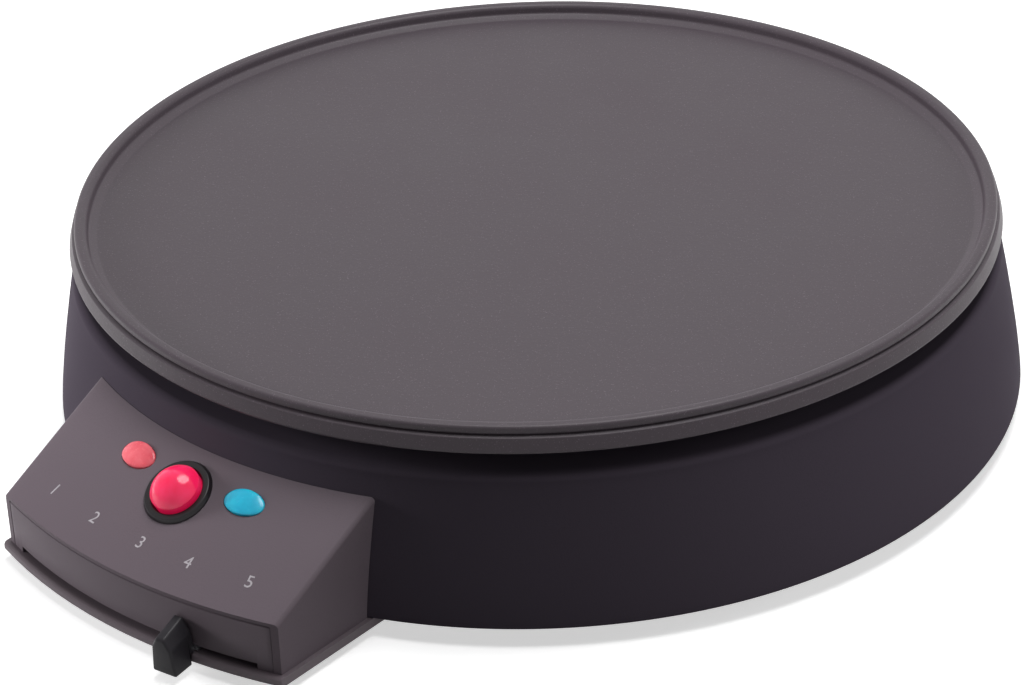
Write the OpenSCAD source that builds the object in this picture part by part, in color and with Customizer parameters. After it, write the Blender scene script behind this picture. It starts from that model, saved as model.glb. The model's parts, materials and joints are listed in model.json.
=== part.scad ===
// Electric crepe maker: a round griddle on a drum base, with a sloping control box in front.
// Millimetres, +Z up. The feet stand on Z = 0 and the origin is the middle of the footprint.
// The control box points to -Y, so +X is on the right for a person standing in front of it.

/* [Griddle] */
// Outer diameter of the lip around the cooking surface
plate_d = 300; // [292:1:304]
// Height of the lip above the table
overall_h = 70; // [68:0.5:78]
// Depth of the cooking surface below the lip
cook_depth = 4.5; // [4.2:0.1:5]
// Thickness of the cast plate
plate_t = 4.5; // [4:0.1:5]
// Width of the rounded lip
lip_w = 4; // [3:0.2:5]
// Height of the lip and skirt together
skirt_h = 8.3; // [8:0.1:9]
// How far the skirt spreads below the lip
skirt_flare = 2.3; // [1:0.1:3]
// Thickness of the skirt
skirt_t = 4.5; // [4:0.1:6]
// Open gap between the skirt and the rim of the drum
plate_gap = 6.9; // [6:0.1:7.5]

/* [Base drum] */
// How far the rim of the drum stands out past the lip
rim_out = 2.2; // [1.5:0.1:4]
// How far the foot of the drum stands out past its rim
wall_lean = 7.8; // [6:0.1:10]
// Curvature of the wall, 1 for a straight cone
wall_bulge = 1.25; // [1:0.05:1.6]
// Wall thickness of the drum and of the control housing
wall = 2.5; // [2:0.1:3]
// Radius of the rounded rim
rim_round = 3; // [2:0.1:4]
// Width of the ledge behind the rim
ledge_w = 20.2; // [18:0.2:22]
// Thickness of the ledge
ledge_t = 2.5; // [2:0.1:3]
// Height of the rubber feet below the base
foot_h = 3; // [2.8:0.1:3.4]
// Diameter of a foot
foot_d = 20; // [16:0.5:22]
// Distance of a foot's middle in from the outside of the drum
foot_in = 26; // [22:0.5:30]
// Direction of the front right foot, from the box's axis
foot_angle = 50; // [48:1:55]

/* [Bottom cover] */
// Thickness of the bottom cover
cover_t = 3; // [2.5:0.1:4]
// How far the cover's tongue stands out below the front wall
flange_out = 2.2; // [1.8:0.1:2.8]
// How far the tongue stands out below the cheeks
flange_side = 1.5; // [0.5:0.1:2.5]
// Length of a ventilation slot
vent_l = 34; // [20:1:36]
// Width of a ventilation slot
vent_w = 4; // [3:0.1:5]

/* [Control box] */
// Width over the two cheeks
box_w = 116.5; // [115:0.5:119]
// How far the curved front stands out in front of the drum's foot
box_out = 34.5; // [33:0.1:36]
// Slope of the control panel, a part of a cone about the drum's axis
panel_angle = 28; // [27:0.5:29]
// Height of the panel's front edge
panel_front_z = 23.4; // [22.6:0.1:24]
// Thickness of the panel along its front edge
panel_edge_t = 1; // [0.8:0.1:1.4]
// Shadow gap between the panel's front edge and the fascia
fascia_gap = 0.7; // [0.4:0.1:1]

/* [Button and lamps] */
// Direction of the button, to the right of the box's axis
button_turn = 0.4; // [-1:0.1:1]
// Distance of the button in front of the line where the panel meets the drum
button_off = 14.2; // [13:0.1:15]
// Diameter of the domed button cap
button_d = 16; // [15:0.2:16.8]
// Height of the dome's top above the panel
button_rise = 7.6; // [6.6:0.1:8.4]
// Height of the dome's edge above the panel
button_edge = 3; // [2.6:0.1:3.2]
// Travel of the button
button_travel = 2.5; // [1.5:0.1:2.6]
// Diameter of the black bezel
bezel_d = 22.6; // [22:0.2:23.6]
// Height of the bezel above the panel
bezel_h = 1.4; // [1:0.1:2]
// Length of an oval lens
lens_l = 14; // [12.8:0.1:14.4]
// Width of an oval lens
lens_w = 8.6; // [8:0.1:9]
// Angle between the button and each lens, about the drum's axis
lens_turn = 7.8; // [7.6:0.1:8.6]
// How much nearer to the drum the lenses are than the button
lens_inset = 4; // [3:0.5:5]

/* [Thermostat and lever] */
// Diameter of the thermostat's spindle
spindle_d = 6; // [5:0.1:7]
// Running clearance around the spindle and the switch plunger, per side
running_gap = 0.05; // [0.03:0.01:0.08]
// Thickness of the steel lever
lever_t = 1; // [1:0.1:1.2]
// Width of the steel lever
lever_w = 10; // [8:0.5:11]
// Direction of the lever at rest, to the right of the box's axis
lever_angle = 7.6; // [0:0.1:12]
// Direction of the lever at its coolest setting
lever_cold = -13; // [-13.5:0.5:-8]
// Direction of the lever at its hottest setting
lever_hot = 13; // [8:0.5:13.5]
// How far the knob's end stands out in front of the box
knob_out = 10.4; // [9.6:0.2:12]
// Width of the knob
knob_w = 8.6; // [8:0.2:9.4]
// Height of the knob's lowest edge above the table
knob_z = 2.6; // [2:0.1:3]
// Height of the knob's end face
knob_h = 12; // [11:0.2:12.4]

/* [Heating] */
// Radius of the heating element's ring
element_r = 95; // [90:0.5:97]
// Diameter of the heating element's tube
element_d = 7; // [6:0.1:7.4]
// Half of the open angle between the element's two ends
element_gap = 11; // [9:0.5:14]
// Distance of the griddle's supports out from the element's ring
support_off = 18; // [17:0.5:20]
// Diameter of the spacer tubes
spacer_d = 10; // [9:0.2:11]
// Depth of the heat shield below the ledge
shield_down = 7.3; // [6:0.1:9]
// Thickness of the heat shield
shield_t = 0.8; // [0.6:0.1:1.2]

/* [Mains inlet] */
// Diameter of the bore in the cord gland
inlet_d = 7.4; // [6:0.1:8]
// Height of the inlet's axis above the table
inlet_z = 24; // [20:0.5:28]
// Diameter of the gland's barrel
gland_d = 13; // [11:0.5:14]

/* [Hidden] */
$fn = 96;
// Overshoot of a cutting body past the face that it cuts
CUT = 1;
// Clearance between pieces that are slid or dropped together, per side
fit_gap = 0.2;
// Clearance around a piece that moves past another
move_gap = 0.4;
// Clearance below a piece that rests on a sloping or curved face
seat_gap = 0.02;

// Heights, from the table up
plate_r = plate_d / 2;
cook_z = overall_h - cook_depth;
plate_z = cook_z - plate_t;
skirt_z = overall_h - skirt_h;
rim_z = skirt_z - plate_gap;
ledge_z = rim_z - ledge_t;
cover_top = foot_h + cover_t;
shield_z = ledge_z - shield_down;

// Base drum
rim_r = plate_r + rim_out;
base_r = rim_r + wall_lean;
ledge_r = rim_r - ledge_w;
foot_r = base_r - foot_in;
bend_z = rim_z - rim_round;
// Radius of the drum's outside at a height
function drum_r(z) =
    base_r - (base_r - rim_r) * pow(max(z - cover_top, 0) / (bend_z - cover_top), wall_bulge);
wall_steps = 8;
round_steps = 5;
// Outer outline of the drum, foot to rim, moved out by grow
function drum_outline(grow) = concat(
    [for (i = [0:wall_steps]) let (z = cover_top + (bend_z - cover_top) * i / wall_steps)
        [drum_r(z) + grow, z]],
    [for (i = [1:round_steps]) let (a = 90 * i / round_steps)
        [rim_r - rim_round + (rim_round + grow) * cos(a), bend_z + (rim_round + grow) * sin(a)]]
);
// Bottom cover, and the lip at the drum's foot that rests on its edge
cover_r = base_r - wall - 2.5;
lip_in = cover_r - 5;
lip_h = 2.5;
// Screw pillars inside the drum, as directions from +X
pillar_d = 8;
pillar_r = rim_r - wall - pillar_d / 2 + 0.8;
pillar_angles = [0, 65, 115, 180, 245, 295];
// Bosses that carry the heat shield
shield_boss_d = 7;
shield_boss_r = ledge_r + shield_boss_d / 2 + 1;
shield_r = shield_boss_r + 4.5;
shield_boss_angles = [30, 150, 210, 330];
// Stiffening bead and middle hole of the heat shield
bead_d = 144;
bead_w = 3;
bead_h = 1.6;
shield_hole_d = 34;
// Ventilation slots in the bottom cover
vent_start = 64;
vent_pitch = 11;
// Stem of a rubber foot, and the barb that holds it in the cover
foot_stem_d = 6;
foot_barb_d = 8.4;
foot_barb_h = 2.2;
// Reach of a cut that goes from the outside into the drum
cut_reach = 60;

// Screws: shank, head and tapped-hole clearance
small_shank = 3.4;
small_head = 6.4;
small_head_h = 1.6;
plate_shank = 4;
plate_head = 8;
plate_head_h = 3.2;
tap_gap = 0.05;
through_gap = 0.3;

// Griddle supports
support_r = element_r + support_off;
support_angles = [315, 45, 135, 225];
support_boss_d = 12;
support_boss_h = 9;
support_top = cover_top + support_boss_h;
head_seat = foot_h + 5.5;
plate_boss_z = plate_z - 4;
plate_screw_top = plate_z + 1.5;

// Heating element
element_z = plate_boss_z;
rib_w = 12;
rib_screw_depth = 1.5;
pin_d = 3;
pin_z = shield_z - 7;
clamp_t = 1.2;
clamp_w = 10;
clamp_boss_d = 7;
clamp_boss_r = element_r + rib_w / 2 + clamp_boss_d / 2 - 1;
clamp_angles = [8, 172, 243, 297];
clamp_screw_d = 3;
insulator_d = 8;
insulator_flange = 2;
insulator_flange_h = 2;
insulator_down = 2.5;

// Control box
box_half = box_w / 2;
box_reach = base_r + box_out;
function panel_z(reach) = panel_front_z + (box_reach - reach) * tan(panel_angle);
// Distance from the axis at which the panel meets the drum's wall, found step by step
function meet(n, reach) = n == 0 ? reach : meet(n - 1, drum_r(panel_z(reach)));
panel_end = meet(8, base_r);
button_reach = panel_end + button_off;
lens_reach = button_reach - lens_inset;
knob_reach = box_reach + knob_out;
window_half = box_half - 14;
window_top = panel_z(panel_end) - 4.5;
box_boss_d = 6;
box_boss_x = box_half - wall - box_boss_d / 2 + 0.2;
box_boss_reach = box_reach - 24.8;
lug_d = box_boss_d + 1;
lug_angle = asin((box_half - wall - lug_d / 2 + 1.3) / (base_r + 5));
lug_z = cover_top + 16;
lug_l = 8;

// Button and switch, measured down from the panel's surface
bezel_bore = button_d + 2 * move_gap;
sleeve_d = bezel_bore + 2.2;
cap_down = 4.4;
switch_top = cap_down + button_travel + move_gap;
switch_h = 10.6;
switch_w = 17;
plunger_d = 5;
plunger_down = switch_top + 2.6;
blade_w = 4.8;
blade_t = 0.8;
blade_l = 4.6;
blade_pitch = 4.5;

// Thermostat
mount_t = 1.2;
mount_l = 44;
mount_w = 20;
mount_hole = 17;
mount_screw_depth = 2.7;
ceramic_d = 24;
ceramic_h = 11;
ceramic_z = plate_z - mount_t - ceramic_h;
blade_reach = 8.5;
thermo_blade_z = ceramic_z - 9;
bush_d = 11;
bush_h = 9;
bush_z = ceramic_z - bush_h;
collar_d = spindle_d + 2.4;
collar_h = 2.4;
pocket_h = 3.4;
clip_t = 0.7;

// Lever
lever_z = cover_top + 0.6;
hub_d = 14;
hub_h = 8;
hub_z = lever_z + lever_t;
slot_play = 0.4;
slot_top = lever_z + lever_t + slot_play;
// Half of the angle that the lever's own width takes up in the fascia's slot
lever_half = asin((lever_w / 2 + 2) / box_reach);
tang_w = 5;
knob_in = box_reach + move_gap + 0.2;
knob_over = box_reach + flange_out + move_gap + 0.2;
knob_round = 1;
knob_top_in = panel_front_z - 6;
// Part of the knob's height from which its flanks draw in, and its width at the ridge
knob_draw = 0.55;
ridge_w = 2.4;
tang_end = knob_reach - 4;

// Mains inlet
gland_flange_d = gland_d + 6;
gland_face = base_r + 1;
gland_in = drum_r(inlet_z) - wall - 7;
nut_t = 3;

// Terminal block and its poles
block_at = [-28, base_r - 48];
block_l = 36;
block_w = 16;
block_h = 11;
block_z = cover_top + 2;
block_sink = 1.5;
block_fix = 14.6;
block_fix_d = 2.6;
pole_pitch = 9;
pole_up = 5;
pole_screw_d = 3.2;
pole_bore = 4;

// Footprint: the axis of the drum is set back so that the origin is in the middle
front_reach = knob_reach * cos(lever_angle) + (knob_w / 2 - 1.5 * knob_round) * sin(lever_angle);
axis_y = (front_reach - gland_face) / 2;

// ---------------------------------------------------------------- helpers

module on_axis() {
    translate([0, axis_y, 0]) children();
}

// A place at a direction from +X and a distance from the drum's axis
module polar(angle, reach) {
    rotate([0, 0, angle]) translate([reach, 0, 0]) children();
}

// A place on the panel: +Z is its outward normal and +Y runs up the slope
module on_panel(turn, reach) {
    rotate([0, 0, turn]) translate([0, -reach, panel_z(reach)]) rotate([panel_angle, 0, 0]) children();
}

module rod(d, z0, z1) {
    translate([0, 0, z0]) cylinder(d = d, h = z1 - z0);
}

module block(w, l, z0, z1) {
    translate([-w / 2, -l / 2, z0]) cube([w, l, z1 - z0]);
}

// A flat oval with round ends, along X
module oval(l, w, z0, z1) {
    for (side = [-1, 1]) translate([side * (l - w) / 2, 0, 0]) rod(w, z0, z1);
    block(l - w, w, z0, z1);
}

// Everything inside the drum's outer surface, moved out by grow
module drum_solid(grow) {
    top = rim_z + max(grow, 0);
    rotate_extrude() polygon(concat(
        [[0, cover_top - CUT], [base_r + grow, cover_top - CUT]], drum_outline(grow), [[0, top]]
    ));
}

// Everything below the panel's conical surface, let down by a thickness
module below_panel(t) {
    far = box_reach + 2 * wall;
    down = t / cos(panel_angle);
    rotate_extrude() polygon([[0, -CUT], [far, -CUT], [far, panel_z(far) - down], [0, panel_z(0) - down]]);
}

// A round-headed screw, head down, from its head's seat to its tip
module screw(shank, head, head_h, seat_z, tip_z) {
    rod(head, seat_z - head_h, seat_z);
    rod(shank, seat_z, tip_z);
}

// Points of a smooth curve through the given points
function blend(a, b, c, d, t) =
    0.5 * (2 * b + (c - a) * t + (2 * a - 5 * b + 4 * c - d) * t * t + (3 * b - a - 3 * c + d) * t * t * t);
function curve(p, n) = concat(
    [for (i = [0:len(p) - 2], k = [0:n - 1])
        blend(p[max(i - 1, 0)], p[i], p[i + 1], p[min(i + 2, len(p) - 1)], k / n)],
    [p[len(p) - 1]]
);
function unit(v) = v / norm(v);
function across(v, t) = unit(v - (v * t) * t);

// An outline with each corner softened over a length r
function soften(p, r) = [for (i = [0:len(p) - 1], k = [0:4]) let (
    last = p[(i + len(p) - 1) % len(p)], next = p[(i + 1) % len(p)],
    a = p[i] + r * unit(last - p[i]), b = p[i] + r * unit(next - p[i]), t = k / 4
) (1 - t) * (1 - t) * a + 2 * t * (1 - t) * p[i] + t * t * b];

// A tube of 8 sides swept along a smooth curve through the given points
module wire(points, d) {
    p = curve(points, 4);
    last = len(p) - 1;
    far = len(points) - 1;
    t = [for (i = [0:last])
        i == 0 ? unit(points[1] - points[0]) :
        i == last ? unit(points[far] - points[far - 1]) : unit(p[i + 1] - p[i - 1])];
    start = across(abs(t[0].z) > 0.9 ? [1, 0, 0] : [0, 0, 1], t[0]);
    side = [for (i = 0, n = start; i <= last; i = i + 1, n = i <= last ? across(n, t[i]) : n) n];
    ring = [for (i = [0:last], k = [0:7])
        p[i] + d / 2 * (cos(45 * k) * side[i] + sin(45 * k) * cross(t[i], side[i]))];
    skin = [for (i = [0:last - 1], k = [0:7])
        [8 * i + k, 8 * i + 8 + k, 8 * i + 8 + (k + 1) % 8, 8 * i + (k + 1) % 8]];
    ends = [[for (k = [0:7]) k], [for (k = [7:-1:0]) 8 * last + k]];
    polyhedron(points = ring, faces = concat(skin, ends));
}

// ---------------------------------------------------------------- griddle

// Half section of the plate: cooking surface, rounded lip, thin groove and skirt
lip_round = lip_w / 2;
lip_mid = plate_r - lip_round;
groove_z = overall_h - lip_round - 0.3;
plate_section = concat(
    [[0, plate_z], [plate_r + skirt_flare - skirt_t - 1, plate_z]],
    [[plate_r + skirt_flare - skirt_t, skirt_z], [plate_r + skirt_flare - 0.6, skirt_z]],
    [[plate_r + skirt_flare, skirt_z + 0.6], [plate_r + 0.9, groove_z - 1.1]],
    [[plate_r + 0.3, groove_z - 0.5], [plate_r - 0.8, groove_z - 0.4], [plate_r - 0.8, groove_z]],
    [for (a = [0:15:180]) [lip_mid + lip_round * cos(a), overall_h - lip_round + lip_round * sin(a)]],
    [[lip_mid - lip_round - 0.9, cook_z + 0.9], [lip_mid - lip_round - 2, cook_z + 0.2]],
    [[lip_mid - lip_round - 3.2, cook_z], [0, cook_z]]
);

module griddle_plate() on_axis() color([0.16, 0.15, 0.16]) {
    difference() {
        union() {
            rotate_extrude() polygon(plate_section);
            difference() {
                rod(2 * element_r + rib_w, plate_boss_z, plate_z + 1);
                rod(2 * element_r - rib_w, plate_boss_z - CUT, plate_z + 2 * CUT);
            }
            for (a = support_angles) polar(a, support_r) rod(support_boss_d, plate_boss_z, plate_z + 1);
            for (a = clamp_angles) polar(a, clamp_boss_r) rod(clamp_boss_d, plate_boss_z, plate_z + 1);
        }
        translate([0, 0, element_z]) rotate_extrude()
            translate([element_r, 0]) circle(d = element_d + 2 * fit_gap);
        for (a = support_angles) polar(a, support_r)
            rod(plate_shank + 2 * tap_gap, plate_boss_z - CUT, plate_screw_top + 0.5);
        for (a = clamp_angles) polar(a, clamp_boss_r)
            rod(clamp_screw_d + 2 * tap_gap, plate_boss_z - CUT, plate_z + rib_screw_depth);
        for (side = [-1, 1]) translate([side * mount_hole, 0, 0])
            rod(small_shank + 2 * tap_gap, plate_z - CUT, plate_z + mount_screw_depth);
    }
}

module heating_element() on_axis() color([0.36, 0.35, 0.34]) {
    open = 90 + element_gap;
    leg_z = shield_z + shield_t + insulator_flange_h + fit_gap;
    rotate([0, 0, open]) rotate_extrude(angle = 360 - 2 * element_gap)
        translate([element_r, element_z]) circle(d = element_d);
    for (side = [-1, 1]) polar(90 + side * element_gap, element_r) {
        translate([0, 0, element_z]) sphere(d = element_d);
        rod(element_d, leg_z, element_z);
        rod(pin_d, pin_z, leg_z + 0.5);
    }
}

module element_insulators() on_axis() color([0.88, 0.86, 0.80]) {
    low = shield_z - insulator_down;
    seat = shield_z + shield_t;
    for (side = [-1, 1]) polar(90 + side * element_gap, element_r) difference() {
        union() {
            rod(insulator_d, low, seat + insulator_flange_h);
            rod(insulator_d + 2 * insulator_flange, seat, seat + insulator_flange_h);
        }
        rod(pin_d + 2 * fit_gap, low - CUT, seat + insulator_flange_h + CUT);
    }
}

module element_clamps() on_axis() color([0.70, 0.71, 0.72]) {
    low = element_z - element_d / 2 - 0.1;
    ear = plate_boss_z;
    inner = element_r - element_d / 2 - 1;
    outer = element_r + element_d / 2 + 1;
    end = clamp_boss_r + clamp_boss_d / 2;
    for (a = clamp_angles) polar(a, 0) difference() {
        translate([0, clamp_w / 2, 0]) rotate([90, 0, 0]) linear_extrude(clamp_w) polygon([
            [end, ear], [end, ear - clamp_t], [outer + clamp_t, ear - clamp_t],
            [outer + clamp_t, low - clamp_t], [inner - clamp_t, low - clamp_t], [inner - clamp_t, ear],
            [inner, ear], [inner, low], [outer, low], [outer, ear]
        ]);
        translate([clamp_boss_r, 0, 0]) rod(clamp_screw_d + 2 * fit_gap, ear - clamp_t - CUT, ear + CUT);
    }
}

module clamp_screws() on_axis() color([0.62, 0.62, 0.63]) {
    for (a = clamp_angles) polar(a, clamp_boss_r)
        screw(clamp_screw_d, 5.4, 2, plate_boss_z - clamp_t, plate_z + rib_screw_depth - 0.5);
}

module heat_shield() on_axis() color([0.78, 0.78, 0.79]) {
    bead_top = shield_z + shield_t + bead_h;
    difference() {
        union() {
            rod(2 * shield_r, shield_z, shield_z + shield_t);
            difference() {
                rod(bead_d, shield_z, bead_top);
                rod(bead_d - 2 * bead_w, shield_z - CUT, bead_top + CUT);
            }
        }
        rod(shield_hole_d, shield_z - CUT, bead_top + CUT);
        for (a = support_angles) polar(a, support_r) rod(spacer_d + 1, shield_z - CUT, bead_top + CUT);
        for (a = shield_boss_angles) polar(a, shield_boss_r)
            rod(small_shank + through_gap, shield_z - CUT, bead_top + CUT);
        for (side = [-1, 1]) polar(90 + side * element_gap, element_r)
            rod(insulator_d + 2 * fit_gap, shield_z - CUT, bead_top + CUT);
    }
}

module shield_screws() on_axis() color([0.62, 0.62, 0.63]) {
    for (a = shield_boss_angles) polar(a, shield_boss_r)
        screw(small_shank, small_head, small_head_h, shield_z, shield_z + shield_t + 5);
}

module spacer(i) on_axis() color([0.66, 0.67, 0.68]) {
    polar(support_angles[i], support_r) difference() {
        rod(spacer_d, support_top, plate_boss_z);
        rod(plate_shank + 2 * through_gap, support_top - CUT, plate_boss_z + CUT);
    }
}

module plate_screws() on_axis() color([0.62, 0.62, 0.63]) {
    for (a = support_angles) polar(a, support_r)
        screw(plate_shank, plate_head, plate_head_h, head_seat, plate_screw_top);
}

// ---------------------------------------------------------------- base

module base_drum() on_axis() color([0.20, 0.18, 0.21]) {
    lip_top = cover_top + lip_h;
    inner = [for (i = [wall_steps:-1:0]) let (z = lip_top + (ledge_z - lip_top) * i / wall_steps)
        [drum_r(z) - wall, z]];
    difference() {
        union() {
            rotate_extrude() polygon(concat(
                drum_outline(0), [[ledge_r, rim_z], [ledge_r, ledge_z]], inner,
                [[lip_in, lip_top], [lip_in, cover_top]]
            ));
            for (a = pillar_angles) polar(a, pillar_r) rod(pillar_d, cover_top, ledge_z + 1);
            for (a = shield_boss_angles) polar(a, shield_boss_r)
                rod(shield_boss_d, shield_z + shield_t, ledge_z + 1);
        }
        // Way through for the lever and for the control box's wiring
        translate([0, -base_r, 0]) block(2 * window_half, cut_reach, cover_top - CUT, window_top);
        for (a = pillar_angles) polar(a, pillar_r)
            rod(small_shank + 2 * tap_gap, cover_top - CUT, cover_top + 12);
        for (a = shield_boss_angles) polar(a, shield_boss_r)
            rod(small_shank + 2 * tap_gap, shield_z, shield_z + shield_t + 5.2);
        for (side = [-1, 1]) polar(270 + side * lug_angle, 0) translate([0, 0, lug_z])
            rotate([0, 90, 0]) rod(small_shank + through_gap, base_r - 20, base_r + 10);
        translate([0, 0, inlet_z]) rotate([-90, 0, 0]) rod(gland_d + 2 * fit_gap, base_r - 20, base_r + 10);
    }
}

// Rounded edge of the cover's tongue, as a half section
tongue_r = box_reach + flange_out;
tongue_section = concat(
    [[ledge_r, foot_h], [tongue_r - 0.6, foot_h], [tongue_r, foot_h + 0.6]],
    [for (a = [0:30:90]) [tongue_r - 1.2 + 1.2 * cos(a), cover_top - 1.2 + 1.2 * sin(a)]],
    [[ledge_r, cover_top]]
);

module vents(direction) {
    polar(direction, 0) for (k = [-2:2]) translate([vent_start, vent_pitch * k, 0])
        oval(vent_l, vent_w, foot_h - CUT, cover_top + CUT);
}

module bottom_cover() on_axis() color([0.37, 0.34, 0.36]) {
    tongue_w = box_w + 2 * flange_side;
    difference() {
        union() {
            rod(2 * cover_r, foot_h, cover_top);
            intersection() {
                rotate_extrude() polygon(tongue_section);
                translate([0, -base_r, 0]) block(tongue_w, 110, 0, cover_top + CUT);
            }
            for (a = support_angles) polar(a, support_r) rod(support_boss_d, foot_h, support_top);
            translate([block_at.x, block_at.y, 0]) block(block_l + 2, block_w + 2, foot_h, block_z);
        }
        for (a = support_angles) polar(a, support_r) {
            rod(plate_head + 1, foot_h - CUT, head_seat);
            rod(plate_shank + 2 * through_gap, foot_h - CUT, support_top + CUT);
        }
        for (a = pillar_angles) polar(a, pillar_r) cover_hole();
        for (side = [-1, 1]) translate([side * box_boss_x, -box_boss_reach, 0]) cover_hole();
        for (i = [0:3]) at_foot(i) rod(foot_stem_d + 2 * tap_gap, foot_h - CUT, cover_top + CUT);
        for (a = [0, 180]) vents(a);
        for (side = [-1, 1]) translate([block_at.x + side * block_fix, block_at.y, 0]) {
            rod(5, foot_h - CUT, foot_h + block_sink);
            rod(block_fix_d, foot_h - CUT, block_z + CUT);
        }
    }
}

// Countersunk hole for a small screw in the cover
module cover_hole() {
    rod(small_head + 0.6, foot_h - CUT, foot_h + small_head_h);
    rod(small_shank + through_gap, foot_h - CUT, cover_top + CUT);
}

module cover_screws() on_axis() color([0.55, 0.55, 0.56]) {
    seat = foot_h + small_head_h;
    for (a = pillar_angles) polar(a, pillar_r)
        screw(small_shank, small_head, small_head_h - 0.2, seat, cover_top + 11);
    for (side = [-1, 1]) translate([side * box_boss_x, -box_boss_reach, 0])
        screw(small_shank, small_head, small_head_h - 0.2, seat, cover_top + 9);
}

// Feet run anticlockwise from the front right one
foot_angles = [270 + foot_angle, 90 - foot_angle, 90 + foot_angle, 270 - foot_angle];
module at_foot(i) {
    polar(foot_angles[i], foot_r) children();
}

module foot(i) on_axis() color([0.07, 0.07, 0.07]) {
    at_foot(i) rotate_extrude() polygon([
        [0, 0], [foot_d / 2 - 1.6, 0], [foot_d / 2 - 0.8, 0.8], [foot_d / 2, foot_h],
        [foot_stem_d / 2, foot_h], [foot_stem_d / 2, cover_top], [foot_barb_d / 2, cover_top],
        [foot_stem_d / 2 - 0.4, cover_top + foot_barb_h], [0, cover_top + foot_barb_h]
    ]);
}

// ---------------------------------------------------------------- control box

// Solid block of the control box, up to its panel
module box_block(z0) {
    intersection() {
        cylinder(r = box_reach, h = overall_h);
        translate([0, -box_reach, 0]) block(box_w, 120, z0, overall_h);
        below_panel(0);
    }
}

module lens_places() {
    for (side = [-1, 1]) on_panel(button_turn + side * lens_turn, lens_reach) children();
}

module control_housing() on_axis() color([0.42, 0.38, 0.41]) {
    difference() {
        union() {
            difference() {
                box_block(cover_top);
                // Hollow inside, open to the front for the fascia
                intersection() {
                    translate([0, -box_reach, 0]) block(box_w - 2 * wall, 160, 0, overall_h);
                    below_panel(wall);
                }
                // Thin front edge of the panel, over the fascia
                intersection() {
                    difference() {
                        cylinder(r = box_reach + CUT, h = overall_h);
                        translate([0, 0, -CUT])
                            cylinder(r = box_reach - wall - fit_gap, h = overall_h + 2 * CUT);
                    }
                    translate([0, -box_reach, 0]) block(box_w - 2 * wall, 60, 0, overall_h);
                    below_panel(panel_edge_t);
                }
            }
            intersection() {
                union() {
                    for (side = [-1, 1]) translate([side * box_boss_x, -box_boss_reach, 0])
                        rod(box_boss_d, cover_top, overall_h);
                    for (side = [-1, 1]) polar(270 + side * lug_angle, 0) translate([0, 0, lug_z])
                        rotate([0, 90, 0]) rod(lug_d, base_r - 10, base_r + lug_l);
                }
                box_block(cover_top);
            }
        }
        drum_solid(fit_gap);
        on_panel(button_turn, button_reach) rod(sleeve_d + 2 * fit_gap, -9, CUT);
        lens_places() oval(lens_l + 2 * fit_gap, lens_w + 2 * fit_gap, -9, CUT);
        for (side = [-1, 1]) translate([side * box_boss_x, -box_boss_reach, 0])
            rod(small_shank + 2 * tap_gap, cover_top - CUT, cover_top + 9.5);
        for (side = [-1, 1]) polar(270 + side * lug_angle, 0) translate([0, 0, lug_z])
            rotate([0, 90, 0]) rod(small_shank + 2 * tap_gap, base_r - 20, base_r + lug_l - 1.5);
    }
}

module front_fascia() on_axis() color([0.38, 0.34, 0.37]) {
    difference() {
        intersection() {
            difference() {
                cylinder(r = box_reach - 0.1, h = overall_h);
                translate([0, 0, -CUT]) cylinder(r = box_reach - wall, h = overall_h + 2 * CUT);
            }
            translate([0, -box_reach, 0]) block(box_w - 2 * wall - 2 * fit_gap, 60, cover_top, overall_h);
            below_panel(panel_edge_t + fascia_gap);
        }
        // Slot that the lever swings in
        rotate([0, 0, 270 + lever_cold - lever_half]) translate([0, 0, cover_top - CUT])
            rotate_extrude(angle = lever_hot - lever_cold + 2 * lever_half)
            translate([box_reach - wall - CUT, 0]) square([wall + 2 * CUT, slot_top - cover_top + CUT]);
    }
}

module housing_screws() on_axis() color([0.55, 0.55, 0.56]) {
    seat = drum_r(lug_z + small_head / 2) - wall - 2 * tap_gap;
    for (side = [-1, 1]) polar(270 + side * lug_angle, 0) translate([0, 0, lug_z])
        rotate([0, 90, 0]) screw(small_shank, small_head, 2, seat, base_r + lug_l - 2);
}

// ---------------------------------------------------------------- button and lamps

module button_bezel() on_axis() color([0.05, 0.05, 0.06]) {
    difference() {
        union() {
            // Ring on the panel, its underside hollowed to the cone
            difference() {
                on_panel(button_turn, button_reach) translate([0, 0, -0.4])
                    cylinder(d1 = bezel_d, d2 = bezel_d - 1.6, h = bezel_h + 0.4);
                below_panel(-seat_gap);
            }
            on_panel(button_turn, button_reach) rod(sleeve_d, -switch_top, 0.5);
        }
        on_panel(button_turn, button_reach) rod(bezel_bore, -switch_top - CUT, bezel_h + CUT);
    }
}

module power_button() on_axis() color([0.90, 0.10, 0.32]) {
    // Radius of a dome that meets the cap's wall at its edge
    rise = button_rise - button_edge;
    dome_r = (pow(button_d / 2, 2) + pow(rise, 2)) / (2 * rise);
    on_panel(button_turn, button_reach) difference() {
        union() {
            rod(button_d, -cap_down, button_edge - 0.4);
            intersection() {
                translate([0, 0, button_rise - dome_r]) sphere(r = dome_r);
                rod(button_d, button_edge - 0.8, button_rise + CUT);
            }
        }
        rod(plunger_d + 2 * fit_gap, -cap_down - CUT, -cap_down + 2);
    }
}

module switch_plunger() on_axis() color([0.92, 0.91, 0.88]) {
    on_panel(button_turn, button_reach) rod(plunger_d, -plunger_down, -cap_down + 2);
}

module switch_body() on_axis() color([0.11, 0.11, 0.12]) {
    on_panel(button_turn, button_reach) difference() {
        block(switch_w, switch_w, -switch_top - switch_h, -switch_top);
        rod(plunger_d + 2 * running_gap, -plunger_down - button_travel - 0.6, CUT);
        for (side = [-1, 1]) translate([side * blade_pitch, 0, 0])
            block(blade_t + 0.1, blade_w + 0.1, -switch_top - switch_h - CUT, -switch_top - switch_h + 2);
    }
}

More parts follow.
